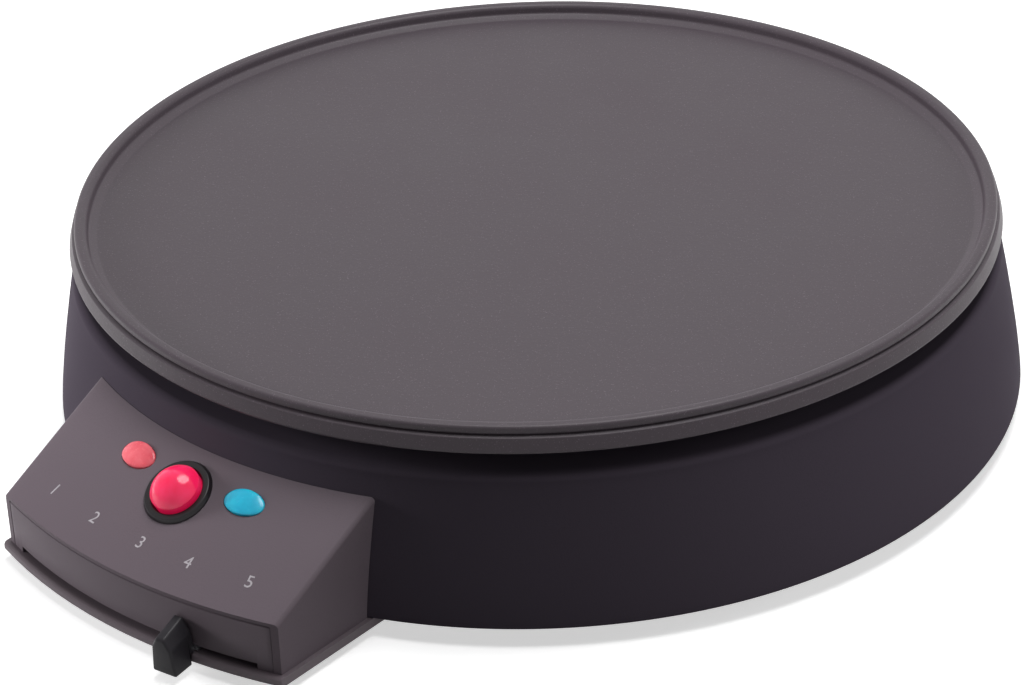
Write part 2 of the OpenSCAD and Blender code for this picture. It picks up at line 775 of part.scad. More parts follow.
module switch_terminals() on_axis() color([0.80, 0.66, 0.36]) {
    base = -switch_top - switch_h;
    on_panel(button_turn, button_reach) for (side = [-1, 1]) translate([side * blade_pitch, 0, 0])
        block(blade_t, blade_w, base - blade_l, base + 2);
}

// An oval lens with a domed top and a retaining foot under the panel
module lens(side) {
    lens_dome = 20;
    lens_top = 1.3;
    on_panel(button_turn + side * lens_turn, lens_reach) intersection() {
        oval(lens_l, lens_w, -wall - 1.5, lens_top + CUT);
        translate([0, 0, lens_top - lens_dome]) sphere(r = lens_dome);
    }
    intersection() {
        on_panel(button_turn + side * lens_turn, lens_reach) oval(lens_l + 1.6, lens_w + 1.6, -wall - 1.6, 0);
        below_panel(wall + seat_gap);
    }
}

module power_lens() on_axis() color([0.98, 0.45, 0.50]) {
    lens(-1);
}

module ready_lens() on_axis() color([0.08, 0.70, 0.85]) {
    lens(1);
}

// A small neon lamp with a round nose
lamp_d = 5;
lamp_top = -wall - 2.4;
lamp_base = lamp_top - 10;
module lamp(side) {
    on_panel(button_turn + side * lens_turn, lens_reach) {
        rod(lamp_d, lamp_base, lamp_top - lamp_d / 2);
        translate([0, 0, lamp_top - lamp_d / 2]) sphere(d = lamp_d);
    }
}

// A sleeve that hangs the lamp under its lens
module lamp_holder(side) {
    on_panel(button_turn + side * lens_turn, lens_reach) difference() {
        rod(lamp_d + 3, lamp_base - 1.5, -wall - 1.6);
        rod(lamp_d + 2 * fit_gap, lamp_base, -wall - 1.6 + CUT);
    }
}

module power_lamp() on_axis() color([0.95, 0.80, 0.72]) {
    lamp(-1);
}

module ready_lamp() on_axis() color([0.75, 0.88, 0.95]) {
    lamp(1);
}

module power_lamp_holder() on_axis() color([0.85, 0.84, 0.80]) {
    lamp_holder(-1);
}

module ready_lamp_holder() on_axis() color([0.85, 0.84, 0.80]) {
    lamp_holder(1);
}

// ---------------------------------------------------------------- thermostat and lever

module thermostat_mount() on_axis() color([0.72, 0.73, 0.74]) {
    difference() {
        block(mount_l, mount_w, plate_z - mount_t, plate_z);
        for (side = [-1, 1]) translate([side * mount_hole, 0, 0])
            rod(small_shank + through_gap, plate_z - mount_t - CUT, plate_z + CUT);
    }
}

module thermostat_screws() on_axis() color([0.62, 0.62, 0.63]) {
    for (side = [-1, 1]) translate([side * mount_hole, 0, 0])
        screw(small_shank, small_head, 2, plate_z - mount_t, plate_z + mount_screw_depth - 0.2);
}

module thermostat_body() on_axis() color([0.90, 0.88, 0.83]) {
    difference() {
        rod(ceramic_d, ceramic_z, plate_z - mount_t);
        rod(collar_d + 2 * move_gap, ceramic_z - CUT, ceramic_z + pocket_h);
        for (side = [-1, 1]) translate([0, side * blade_reach, 0])
            block(blade_w + 0.1, blade_t + 0.1, ceramic_z - CUT, ceramic_z + 3);
    }
}

module thermostat_bush() on_axis() color([0.78, 0.62, 0.30]) {
    difference() {
        rod(bush_d, bush_z, ceramic_z);
        rod(spindle_d + 2 * running_gap, bush_z - CUT, ceramic_z + CUT);
    }
}

module thermostat_terminals() on_axis() color([0.80, 0.66, 0.36]) {
    for (side = [-1, 1]) translate([0, side * blade_reach, 0])
        block(blade_w, blade_t, thermo_blade_z, ceramic_z + 3);
}

// Everything on the spindle is drawn with the lever at its rest direction
module at_rest() {
    rotate([0, 0, 270 + lever_angle]) children();
}

module thermostat_spindle() on_axis() color([0.70, 0.70, 0.71]) {
    rod(spindle_d, lever_z - 0.3, ceramic_z + 0.3);
    rod(collar_d, ceramic_z + 0.3, ceramic_z + 0.3 + collar_h);
}

module spindle_clip() on_axis() color([0.45, 0.45, 0.46]) {
    top = bush_z - 0.3;
    at_rest() difference() {
        rod(spindle_d + 4.5, top - clip_t, top);
        rod(spindle_d + 2 * tap_gap, top - clip_t - CUT, top + CUT);
        translate([spindle_d, 0, 0]) block(2 * spindle_d, spindle_d - 1, top - clip_t - CUT, top + CUT);
    }
}

module lever_arm() on_axis() color([0.74, 0.74, 0.75]) {
    at_rest() difference() {
        union() {
            rod(hub_d + 4, lever_z, lever_z + lever_t);
            translate([0, -lever_w / 2, lever_z]) cube([box_reach + 0.2, lever_w, lever_t]);
            translate([box_reach, -tang_w / 2, lever_z]) cube([tang_end - box_reach, tang_w, lever_t]);
        }
        rod(spindle_d + 2 * tap_gap, lever_z - CUT, lever_z + lever_t + CUT);
    }
}

module lever_hub() on_axis() color([0.78, 0.62, 0.30]) {
    at_rest() difference() {
        rod(hub_d, hub_z, hub_z + hub_h);
        rod(spindle_d + 2 * tap_gap, hub_z - CUT, hub_z + hub_h + CUT);
        translate([0, 0, hub_z + hub_h / 2]) rotate([0, 90, 0])
            rod(3 + 2 * tap_gap, 0, hub_d);
    }
}

module hub_screw() on_axis() color([0.35, 0.35, 0.36]) {
    at_rest() translate([0, 0, hub_z + hub_h / 2]) rotate([0, 90, 0])
        rod(3, spindle_d / 2 + 0.2, hub_d / 2 + 0.5);
}

// Fin-shaped knob: its foot hangs in front of the cover's tongue and its flanks draw in to a ridge
module lever_knob() on_axis() color([0.06, 0.06, 0.07]) {
    half = knob_w / 2;
    shoulder = cover_top + move_gap;
    profile = [
        [knob_over, knob_z], [knob_reach, knob_z], [knob_reach, knob_z + knob_h],
        [knob_in, knob_top_in], [knob_in, shoulder], [knob_over, shoulder]
    ];
    plan = [[knob_in, -half], [knob_reach, -half], [knob_reach, half], [knob_in, half]];
    rise = knob_top_in - knob_z;
    low = knob_z + knob_draw * rise;
    section = [for (k = [0:4]) let (a = 22.5 * k)
        [ridge_w / 2 + (half - ridge_w / 2) * cos(a), low + (1 - knob_draw) * rise * sin(a)]];
    at_rest() difference() {
        intersection() {
            translate([0, half, 0]) rotate([90, 0, 0]) linear_extrude(knob_w)
                polygon(soften(profile, knob_round));
            linear_extrude(overall_h) polygon(soften(plan, 1.5 * knob_round));
            rotate([90, 0, 90]) linear_extrude(knob_reach + CUT) polygon(concat(
                [[-half, 0], [half, 0]], section, [for (k = [4:-1:0]) [-section[k].x, section[k].y]]
            ));
        }
        // Socket for the lever's tang
        translate([knob_in - CUT, -tang_w / 2 - 0.1, lever_z - 0.1])
            cube([tang_end - knob_in + CUT + 0.1, tang_w + 0.2, lever_t + 0.2]);
    }
}

// ---------------------------------------------------------------- wiring

// Fuse clipped under the heat shield, on the way from the thermostat to the element
fuse_at = (element_r - 33) * [cos(45), sin(45)];
fuse_turn = 120;
fuse_d = 4;
fuse_l = 14;
fuse_z = shield_z - 3.4;
module at_fuse() {
    translate([fuse_at.x, fuse_at.y, fuse_z]) rotate([0, 0, fuse_turn]) children();
}

module thermal_fuse() on_axis() color([0.88, 0.84, 0.70]) {
    at_fuse() rotate([0, 90, 0]) rod(fuse_d, -fuse_l / 2, fuse_l / 2);
}

module fuse_clip() on_axis() color([0.70, 0.71, 0.72]) {
    at_fuse() difference() {
        block(6, fuse_d + 3, -fuse_d / 2 - 0.8, shield_z - fuse_z);
        rotate([0, 90, 0]) rod(fuse_d + 2 * tap_gap, -fuse_l, fuse_l);
    }
}

// Three-pole terminal block on its pad
module terminal_block() on_axis() color([0.90, 0.89, 0.86]) {
    translate([block_at.x, block_at.y, 0]) difference() {
        block(block_l, block_w, block_z, block_z + block_h);
        for (k = [-1:1]) translate([k * pole_pitch, 0, block_z + pole_up])
            rotate([90, 0, 0]) rod(pole_bore, -block_w / 2 - CUT, block_w / 2 + CUT);
        for (k = [-1:1], y = [-1, 1]) translate([k * pole_pitch, y * block_w / 4, 0])
            rod(pole_screw_d + 2 * tap_gap, block_z + pole_up, block_z + block_h + CUT);
        for (side = [-1, 1]) translate([side * block_fix, 0, 0]) rod(block_fix_d, block_z - CUT, block_z + 4);
    }
}

module terminal_screws() on_axis() color([0.62, 0.62, 0.63]) {
    translate([block_at.x, block_at.y, 0]) {
        for (k = [-1:1], y = [-1, 1]) translate([k * pole_pitch, y * block_w / 4, 0])
            rod(pole_screw_d, block_z + pole_up + wire_d, block_z + block_h - 1);
        for (side = [-1, 1]) translate([side * block_fix, 0, 0])
            screw(block_fix_d - 2 * tap_gap, 4.6, block_sink - 0.1, foot_h + block_sink, block_z + 3.8);
    }
}

module cord_gland() on_axis() color([0.08, 0.08, 0.09]) {
    difference() {
        union() {
            translate([0, 0, inlet_z]) rotate([-90, 0, 0]) rod(gland_d, gland_in, gland_face);
            difference() {
                translate([0, 0, inlet_z]) rotate([-90, 0, 0]) rod(gland_flange_d, base_r - 6, gland_face);
                drum_solid(seat_gap);
            }
        }
        translate([0, 0, inlet_z]) rotate([-90, 0, 0]) rod(inlet_d, gland_in - CUT, gland_face + CUT);
    }
}

module gland_nut() on_axis() color([0.12, 0.12, 0.13]) {
    seat = drum_r(inlet_z + gland_flange_d / 2) - wall - 0.6;
    translate([0, 0, inlet_z]) rotate([-90, 0, 0]) difference() {
        translate([0, 0, seat - nut_t]) cylinder(d = gland_flange_d, h = nut_t, $fn = 6);
        rod(gland_d + 2 * tap_gap, seat - nut_t - CUT, seat + CUT);
    }
}

// Ends of the wires
wire_d = 2.2;
wire_low = cover_top + 13;
wire_high = shield_z - 13;
way_r = element_r - 15;
// A point under the panel: sideways, up its slope and down from a place on it
function panel_point(turn, reach, side, along, down) = let (
    y = -reach + along * cos(panel_angle) + down * sin(panel_angle)
) [
    side * cos(turn) - y * sin(turn),
    side * sin(turn) + y * cos(turn),
    panel_z(reach) + along * sin(panel_angle) - down * cos(panel_angle)
];
function pole(k) = [block_at.x + pole_pitch * k, block_at.y - block_w / 2 + 2, block_z + pole_up];
// Rear edge of a switch blade, and the way on from there
function switch_end(side, more) = panel_point(
    button_turn, button_reach, side * blade_pitch, blade_w / 2 + more, switch_top + switch_h + blade_l / 2
);
function lamp_end(side, more) =
    panel_point(button_turn + side * lens_turn, lens_reach, 0, 0, 1.5 - lamp_base + more);
function pin_end(side) =
    [element_r * cos(90 + side * element_gap), element_r * sin(90 + side * element_gap), pin_z];
function fuse_end(out) =
    [fuse_at.x + out * cos(fuse_turn), fuse_at.y + out * sin(fuse_turn), fuse_z];
function way(angle, z) = [way_r * cos(angle), way_r * sin(angle), z];
thermo_down = [0, 0, thermo_blade_z];

module wire_live() on_axis() color([0.45, 0.25, 0.12]) {
    wire([pole(-1), pole(-1) + [0, -14, 2], way(140, wire_low), way(172, wire_low),
        way(205, wire_low), way(232, wire_low), [-22, 42 - panel_end, wire_low],
        switch_end(-1, 6) + [-2, 12, 0.5], switch_end(-1, 6), switch_end(-1, 0.1)], wire_d);
}

module wire_switched() on_axis() color([0.10, 0.10, 0.11]) {
    wire([switch_end(1, 0.1), switch_end(1, 6), switch_end(1, 6) + [2, 12, 0.5],
        [13, 42 - panel_end, wire_low + 4], way(278, wire_high - 4), thermo_down + [8, -40, -8],
        thermo_down + [4, -20, -7], thermo_down + [0, -blade_reach, -6],
        thermo_down + [0, -blade_reach, 0]], wire_d);
}

module wire_element() on_axis() color([0.80, 0.78, 0.74]) {
    wire([thermo_down + [0, blade_reach, 0], thermo_down + [0, blade_reach, -6],
        thermo_down + [20, 12, -8], fuse_end(-fuse_l / 2 - 16) + [-8, -2, -6],
        fuse_end(-fuse_l / 2 - 6), fuse_end(-fuse_l / 2)], wire_d);
}

module wire_fuse() on_axis() color([0.70, 0.68, 0.64]) {
    end = pin_end(-1);
    start = fuse_end(fuse_l / 2 + 6);
    wire([fuse_end(fuse_l / 2), start, (start + end) / 2 + [2, 0, -8], end + [0, 0, -8], end], wire_d);
}

module wire_neutral() on_axis() color([0.15, 0.30, 0.65]) {
    end = pin_end(1);
    start = pole(1);
    wire([start, start + [0, -8, 1], start + [1, -11, 9], end + [0, 0, -8], end], wire_d);
}

module wire_earth() on_axis() color([0.35, 0.60, 0.20]) {
    end = [1.07 * way_r * cos(134), 1.07 * way_r * sin(134), shield_z];
    wire([pole(0), pole(0) + [0, -11, 3], (pole(0) + end) / 2 + [2, -1, -1],
        end + [0, 0, -6], end], wire_d);
}

module wire_lamps() on_axis() color([0.20, 0.20, 0.22]) {
    middle = (lamp_end(-1, 0) + lamp_end(1, 0)) / 2;
    wire([lamp_end(-1, 0), lamp_end(-1, 3), middle + [-9, 11, 4], middle + [9, 11, 4],
        lamp_end(1, 3), lamp_end(1, 0)], 1.6);
}

griddle_plate();
heating_element();
element_insulators();
element_clamps();
clamp_screws();
heat_shield();
shield_screws();
base_drum();
bottom_cover();
cover_screws();
spacer(0);  // spacer_front_right
spacer(1);  // spacer_rear_right
spacer(2);  // spacer_rear_left
spacer(3);  // spacer_front_left
plate_screws();
foot(0);  // foot_front_right
foot(1);  // foot_rear_right
foot(2);  // foot_rear_left
foot(3);  // foot_front_left
control_housing();
front_fascia();
housing_screws();
button_bezel();
power_button();
switch_plunger();
switch_body();
switch_terminals();
power_lens();
ready_lens();
power_lamp();
ready_lamp();
power_lamp_holder();
ready_lamp_holder();
thermostat_mount();
thermostat_body();
thermostat_bush();
thermostat_terminals();
thermostat_screws();
thermostat_spindle();
spindle_clip();
lever_arm();
lever_hub();
hub_screw();
lever_knob();
thermal_fuse();
fuse_clip();
terminal_block();
terminal_screws();
cord_gland();
gland_nut();
wire_live();
wire_switched();
wire_element();
wire_fuse();
wire_neutral();
wire_earth();
wire_lamps();
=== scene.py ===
import json
import math

import bmesh
import bpy
from mathutils import Matrix, Vector


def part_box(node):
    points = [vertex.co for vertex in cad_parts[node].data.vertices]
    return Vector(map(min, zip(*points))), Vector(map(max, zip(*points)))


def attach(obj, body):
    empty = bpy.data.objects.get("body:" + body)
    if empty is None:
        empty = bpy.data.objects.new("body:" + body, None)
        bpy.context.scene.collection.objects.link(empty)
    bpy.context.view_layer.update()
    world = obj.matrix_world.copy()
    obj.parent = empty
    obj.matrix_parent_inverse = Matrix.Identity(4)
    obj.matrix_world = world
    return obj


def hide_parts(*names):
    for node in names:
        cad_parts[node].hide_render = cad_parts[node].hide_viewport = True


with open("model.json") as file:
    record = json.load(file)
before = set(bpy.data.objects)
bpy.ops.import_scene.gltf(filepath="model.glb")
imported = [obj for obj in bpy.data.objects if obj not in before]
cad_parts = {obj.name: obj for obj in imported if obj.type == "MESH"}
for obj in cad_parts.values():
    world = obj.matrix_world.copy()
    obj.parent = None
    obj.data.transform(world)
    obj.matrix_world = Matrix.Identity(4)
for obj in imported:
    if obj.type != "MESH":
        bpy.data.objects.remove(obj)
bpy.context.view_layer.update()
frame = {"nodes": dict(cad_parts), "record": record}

NODES = frame["nodes"]
MM = 0.001

# ---------------------------------------------------------------- sizes, in millimetres, from the frame


def low(node):
    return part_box(node)[0] / MM


def high(node):
    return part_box(node)[1] / MM


AXIS_Y = (low("griddle_plate").y + high("griddle_plate").y) / 2
TOP = high("griddle_plate").z
FOOT = low("base_drum").z
COVER_TOP = low("front_fascia").z
RIM = high("base_drum").z
BOX_HALF = high("control_housing").x
REACH = AXIS_Y - low("control_housing").y
TONGUE_REACH = AXIS_Y - low("bottom_cover").y
COVER_LOW = low("bottom_cover").z

# ---------------------------------------------------------------- colours and node helpers


def srgb(red, green, blue):
    """A colour given as 0 to 255, in the linear values that shaders take."""
    def linear(v):
        v = v / 255
        return v / 12.92 if v <= 0.04045 else ((v + 0.055) / 1.055) ** 2.4
    return (linear(red), linear(green), linear(blue), 1.0)


class Look:
    """A material under construction, with a Principled shader and short ways to add nodes."""

    def __init__(self, name, colour, roughness, **sockets):
        self.material = bpy.data.materials.new(name)
        self.material.use_nodes = True
        self.tree = self.material.node_tree
        self.shader = self.tree.nodes["Principled BSDF"]
        self.material.diffuse_color = colour
        self.place = self.node("ShaderNodeTexCoord").outputs["Object"]
        self.set("Base Color", colour)
        self.set("Roughness", roughness)
        for socket, value in sockets.items():
            self.set(socket.replace("_", " "), value)

    def set(self, socket, value):
        self.shader.inputs[socket].default_value = value

    def node(self, kind, **settings):
        made = self.tree.nodes.new(kind)
        for key, value in settings.items():
            setattr(made, key, value)
        return made

    def link(self, out, into):
        self.tree.links.new(out, into)

    def noise(self, size, detail=2.0, roughness=0.5, stretch=None):
        """Noise whose lumps are about size millimetres across."""
        place = self.place
        if stretch:
            mapping = self.node("ShaderNodeMapping")
            mapping.inputs["Scale"].default_value = stretch
            self.link(place, mapping.inputs["Vector"])
            place = mapping.outputs["Vector"]
        made = self.node("ShaderNodeTexNoise")
        made.inputs["Scale"].default_value = 1 / (size * MM)
        made.inputs["Detail"].default_value = detail
        made.inputs["Roughness"].default_value = roughness
        self.link(place, made.inputs["Vector"])
        return made.outputs["Fac"]

    def ramp(self, factor, stops):
        """A colour for a factor, from stops of (position, colour)."""
        made = self.node("ShaderNodeValToRGB")
        ramp = made.color_ramp
        for k, (position, colour) in enumerate(stops):
            stop = ramp.elements[k] if k < 2 else ramp.elements.new(position)
            stop.position = position
            stop.color = colour
        self.link(factor, made.inputs["Fac"])
        return made.outputs["Color"]

    def remap(self, factor, lowest, highest, start=0.25, end=0.75):
        """Goes from lowest to highest while the factor goes from start to end."""
        made = self.node("ShaderNodeMapRange")
        made.inputs["From Min"].default_value = start
        made.inputs["From Max"].default_value = end
        made.inputs["To Min"].default_value = lowest
        made.inputs["To Max"].default_value = highest
        self.link(factor, made.inputs["Value"])
        return made.outputs["Result"]

    def add(self, a, b, share):
        """a plus share times b."""
        made = self.node("ShaderNodeMath", operation="MULTIPLY_ADD")
        self.link(b, made.inputs[0])
        made.inputs[1].default_value = share
        self.link(a, made.inputs[2])
        return made.outputs[0]

    def bump(self, height, depth):
        """Relief of depth millimetres for a height from 0 to 1."""
        made = self.node("ShaderNodeBump")
        made.inputs["Strength"].default_value = 1.0
        made.inputs["Distance"].default_value = depth * MM
        self.link(height, made.inputs["Height"])
        self.link(made.outputs["Normal"], self.shader.inputs["Normal"])

    def tint(self, factor, darker, lighter):
        """Varies the base colour between two shades."""
        self.link(self.ramp(factor, [(0.3, darker), (0.7, lighter)]), self.shader.inputs["Base Color"])

    def gloss(self, factor, smooth, rough):
        """Varies the roughness between two values."""
        self.link(self.remap(factor, smooth, rough), self.shader.inputs["Roughness"])


def shade(colour, factor):
    """A colour made darker or lighter by a factor."""
    return tuple(min(c * factor, 1) for c in colour[:3]) + (1.0,)


def moulded(name, colour, roughness=0.5, grain=0.55, depth=0.03, spread=0.06, specular=0.4):
    """Injection-moulded plastic: a spark-eroded grain, faint clouding, and slightly uneven gloss."""
    look = Look(name, colour, roughness, Specular_IOR_Level=specular)
    fine = look.noise(grain, detail=3, roughness=0.6)
    broad = look.noise(38, detail=2)
    look.tint(look.add(fine, broad, 0.5), shade(colour, 1 - spread), shade(colour, 1 + spread))
    look.gloss(broad, roughness - 0.04, roughness + 0.05)
    look.bump(look.add(fine, look.noise(grain * 0.4), 0.5), depth)
    return look.material


def bare_metal(name, colour, roughness=0.3, grain=0.25, depth=0.006, stretch=None):
    """Plain metal: fine marks, a faint cloudy tarnish, and gloss that follows it."""
    look = Look(name, colour, roughness, Metallic=1.0)
    marks = look.noise(grain, detail=3, roughness=0.6, stretch=stretch)
    cloud = look.noise(9, detail=3)
    look.tint(look.add(cloud, marks, 0.4), shade(colour, 0.82), shade(colour, 1.1))
    look.gloss(cloud, roughness - 0.06, roughness + 0.12)
    look.bump(marks, depth)
    return look.material


def soft_rubber(name, colour):
    """Matt rubber with a fine grain and a little dust."""
    look = Look(name, colour, 0.75, Specular_IOR_Level=0.3)
    fine = look.noise(0.7, detail=4, roughness=0.65)
    dust = look.noise(5, detail=3)
    look.tint(dust, shade(colour, 0.85), shade(colour, 1.5))
    look.gloss(dust, 0.68, 0.86)
    look.bump(fine, 0.05)
    return look.material


def fired_clay(name, colour):
    """Unglazed steatite: chalky, with tiny pits and a few darker specks."""
    look = Look(name, colour, 0.7, Specular_IOR_Level=0.35)
    pits = look.noise(0.5, detail=4, roughness=0.7)
    specks = look.noise(1.6, detail=2)
    look.tint(specks, shade(colour, 0.86), colour)
    look.bump(pits, 0.04)
    return look.material


def braided(name, colour):
    """Glass braid or sleeve on a wire: fine ribs across a soft body."""
    look = Look(name, colour, 0.6, Specular_IOR_Level=0.3)
    weave = look.noise(0.35, detail=1, stretch=(1.6, 1.6, 0.8))
    look.tint(look.add(weave, look.noise(6), 0.3), shade(colour, 0.75), shade(colour, 1.12))
    look.bump(weave, 0.08)
    return look.material


def clear_plastic(name, deep, glow, roughness=0.12, painted_glow=0.0):
    """A tinted plastic lens or cap: clouded depth, polished skin, moulding swirls, and an optional painted
    glow from emission.
    """
    look = Look(name, deep, roughness, Subsurface_Weight=0.35, Subsurface_Scale=2.5 * MM,
                Coat_Weight=0.3, Coat_Roughness=0.06, Specular_IOR_Level=0.25)
    look.set("Subsurface Radius", (1.0, 0.35, 0.35))
    # Emission here is a painted glow that stands in for light, not a lamp.
    look.set("Emission Color", deep)
    look.set("Emission Strength", painted_glow)
    swirl = look.noise(4.5, detail=2)
    look.tint(swirl, deep, glow)
    look.gloss(look.noise(1.2, detail=3), roughness, roughness + 0.1)
    look.bump(look.noise(1.8, detail=2), 0.02)
    return look.material


def lamp_glass(name, colour):
    """Thin clear glass of a neon lamp, slightly uneven."""
    look = Look(name, colour, 0.06, Transmission_Weight=0.85, IOR=1.5)
    look.gloss(look.noise(2.0), 0.03, 0.12)
    look.bump(look.noise(3.0), 0.02)
    return look.material


def non_stick(name, colour):
    """Sprayed PTFE on cast aluminium: orange peel, mica specks and soft cloudy wear."""
    look = Look(name, colour, 0.42, Specular_IOR_Level=0.25, Coat_Weight=0.03, Coat_Roughness=0.35)
    peel = look.noise(1.1, detail=2, roughness=0.55)
    mica = look.noise(0.45, detail=1)
    wear = look.noise(60, detail=4, roughness=0.6)
    specks = look.ramp(mica, [(0.0, colour), (0.66, colour), (0.72, shade(colour, 1.9))])
    worn = look.ramp(wear, [(0.3, (0.93, 0.93, 0.94, 1)), (0.75, (1, 1, 1, 1))])
    mixed = look.node("ShaderNodeMix", data_type="RGBA", blend_type="MULTIPLY")
    mixed.inputs["Factor"].default_value = 1.0
    look.link(specks, mixed.inputs["A"])
    look.link(worn, mixed.inputs["B"])
    look.link(mixed.outputs["Result"], look.shader.inputs["Base Color"])
    look.gloss(wear, 0.36, 0.5)
    look.bump(look.add(peel, mica, 0.25), 0.045)
    return look.material


def printed_ink(name, colour):
    """Pad-printed ink, a little patchy."""
    look = Look(name, colour, 0.55)
    patch = look.noise(0.8, detail=3)
    look.tint(patch, shade(colour, 0.8), colour)
    look.bump(patch, 0.01)
    return look.material


DRUM = srgb(77, 70, 80)
PANEL = srgb(104, 94, 101)
FINISH = {
    "nonstick": non_stick("non_stick", srgb(76, 68, 74)),
    "element_sheath": bare_metal("annealed_sheath", srgb(92, 86, 84), roughness=0.5, grain=0.6),
    "ceramic": fired_clay("steatite", srgb(226, 220, 206)),
    "zinc_steel": bare_metal("zinc_plate", srgb(190, 192, 196), roughness=0.34),
    "screw_steel": bare_metal("screw_zinc", srgb(176, 178, 182), roughness=0.3),
    "shield_steel": bare_metal("aluminised", srgb(205, 206, 208), roughness=0.38, grain=0.8),
    "drum_plastic": moulded("drum_plastic", DRUM, roughness=0.62, specular=0.01),
    "cover_plastic": moulded("cover_plastic", srgb(98, 88, 94), roughness=0.55, grain=0.8, depth=0.04),
    "foot_rubber": soft_rubber("foot_rubber", srgb(26, 25, 26)),
    "panel_plastic": moulded("panel_plastic", PANEL, roughness=0.55, grain=0.5, depth=0.035,
                             spread=0.08, specular=0.1),
    "fascia_plastic": moulded("fascia_plastic", PANEL, roughness=0.55, grain=0.5, depth=0.035,
                              specular=0.2),
    "black_plastic": moulded("black_plastic", srgb(20, 16, 20), roughness=0.32, grain=0.9, depth=0.01,
                             specular=0.3),
    "knob_plastic": moulded("knob_plastic", srgb(42, 40, 44), roughness=0.34, grain=0.9, depth=0.012,
                            specular=0.15),
    # The red cap has no lamp inside; its emission is a painted glow that makes it brighter.
    "red_cap": clear_plastic("red_cap", srgb(228, 22, 78), srgb(244, 50, 104), painted_glow=0.35),
    "white_plastic": moulded("natural_nylon", srgb(222, 218, 206), roughness=0.45, grain=1.2, depth=0.01),
    "switch_plastic": moulded("black_nylon", srgb(30, 29, 31), roughness=0.45, grain=0.9, depth=0.015),
    "brass": bare_metal("brass", srgb(196, 158, 88), roughness=0.28),
    "red_lens": clear_plastic("red_lens", srgb(236, 80, 96), srgb(250, 118, 130), roughness=0.2),
    "blue_lens": clear_plastic("blue_lens", srgb(8, 172, 212), srgb(30, 204, 236), roughness=0.2),
    "lamp_glass": lamp_glass("lamp_glass", srgb(245, 232, 226)),
    "spindle_steel": bare_metal("turned_steel", srgb(180, 181, 186), roughness=0.22, stretch=(1, 1, 6)),
    "spring_steel": bare_metal("black_oxide", srgb(62, 60, 62), roughness=0.36),
    "wire_brown": braided("wire_brown", srgb(104, 66, 38)),
    "wire_black": braided("wire_black", srgb(38, 37, 40)),
    "wire_glass": braided("wire_glass", srgb(214, 208, 192)),
    "wire_blue": braided("wire_blue", srgb(44, 86, 164)),
    "wire_green": braided("wire_green", srgb(104, 158, 52)),
    "ink": printed_ink("grey_ink", srgb(190, 184, 190)),
}
for part in frame["record"]["subparts"]:
    for material_slot in NODES[part["node"]].material_slots:
        material_slot.material = FINISH[part["material_slot"]]

# ---------------------------------------------------------------- mesh helpers


CREASE = 35


def mesh_object(name, points, faces, crease=CREASE):
    """An object from points in millimetres, with its faces turned outwards and shaded smooth."""
    mesh = bpy.data.meshes.new(name)
    mesh.from_pydata([Vector(p) * MM for p in points], [], faces)
    obj = bpy.data.objects.new(name, mesh)
    bpy.context.scene.collection.objects.link(obj)
    edit(obj, lambda bm: bmesh.ops.remove_doubles(bm, verts=bm.verts, dist=1e-7))
    edit(obj, lambda bm: bmesh.ops.recalc_face_normals(bm, faces=bm.faces))
    smooth(obj, crease)
    return obj


def edit(obj, change):
    """Runs a change on a piece's mesh."""
    bm = bmesh.new()
    bm.from_mesh(obj.data)
    change(bm)
    bm.to_mesh(obj.data)
    bm.free()


def smooth(obj, crease):
    """Smooth shading, with edges sharper than crease degrees kept sharp."""
    obj.data.shade_smooth()
    obj.data.set_sharp_from_angle(angle=math.radians(crease))


def round_edges(obj, width, steps, angle):
    """Rounds the edges sharper than an angle in degrees, by a width in millimetres."""
    def change(bm):
        limit = math.radians(angle)
        edges = [e for e in bm.edges if e.is_manifold and e.calc_face_angle(0) > limit]
        bmesh.ops.bevel(bm, geom=edges, offset=width * MM, segments=steps, profile=0.5,
                        affect="EDGES", clamp_overlap=True)
    edit(obj, change)
    smooth(obj, CREASE)


def cut(obj, *cutters):
    """Takes the cutters' shapes out of a piece and removes the cutters."""
    for cutter in cutters:
        modifier = obj.modifiers.new("cut", "BOOLEAN")
        modifier.operation = "DIFFERENCE"
        modifier.solver = "EXACT"
        modifier.object = cutter
        settle(obj)
        bpy.data.objects.remove(cutter)
    smooth(obj, CREASE)


def settle(obj):
    """Turns a piece's modifiers into plain mesh."""
    bpy.context.view_layer.update()
    seen = obj.evaluated_get(bpy.context.evaluated_depsgraph_get())
    mesh = bpy.data.meshes.new_from_object(seen)
    obj.modifiers.clear()
    obj.data = mesh


def dress(obj, material, body, slot, *nodes):
    """Gives a piece its material and body, and hides the CAD nodes that it stands for."""
    obj.data.materials.clear()
    obj.data.materials.append(FINISH[material])
    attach(obj, body)
    if nodes:
        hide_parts(*nodes)


def rounded(corners, steps=6):
    """An outline whose corners (across, up, radius) are rounded to that radius."""
    points = []
    for k, (x, y, radius) in enumerate(corners):
        here = Vector((x, y))
        back = Vector(corners[k - 1][:2]) - here
        ahead = Vector(corners[(k + 1) % len(corners)][:2]) - here
        if radius <= 0 or back.length == 0 or ahead.length == 0:
            points.append((x, y))
            continue
        half = back.angle(ahead) / 2
        reach = min(radius / math.tan(half), back.length * 0.49, ahead.length * 0.49)
        radius = reach * math.tan(half)
        middle = here + (back.normalized() + ahead.normalized()).normalized() * radius / math.sin(half)
        start = here + back.normalized() * reach - middle
        end = here + ahead.normalized() * reach - middle
        turn = start.angle_signed(end)
        for step in range(steps + 1):
            points.append(tuple(middle + Matrix.Rotation(-turn * step / steps, 2) @ start))
    return points


def lathe(outline, around=192):
    """Points and faces of a closed outline (reach, height) turned about Z."""
    count = len(outline)
    points = []
    for k in range(around):
        a = 2 * math.pi * k / around
        points += [(r * math.cos(a), r * math.sin(a), z) for r, z in outline]
    faces = []
    for k in range(around):
        here, there = k * count, (k + 1) % around * count
        for i in range(count):
            j = (i + 1) % count
            faces.append((here + i, there + i, there + j, here + j))
    return points, faces


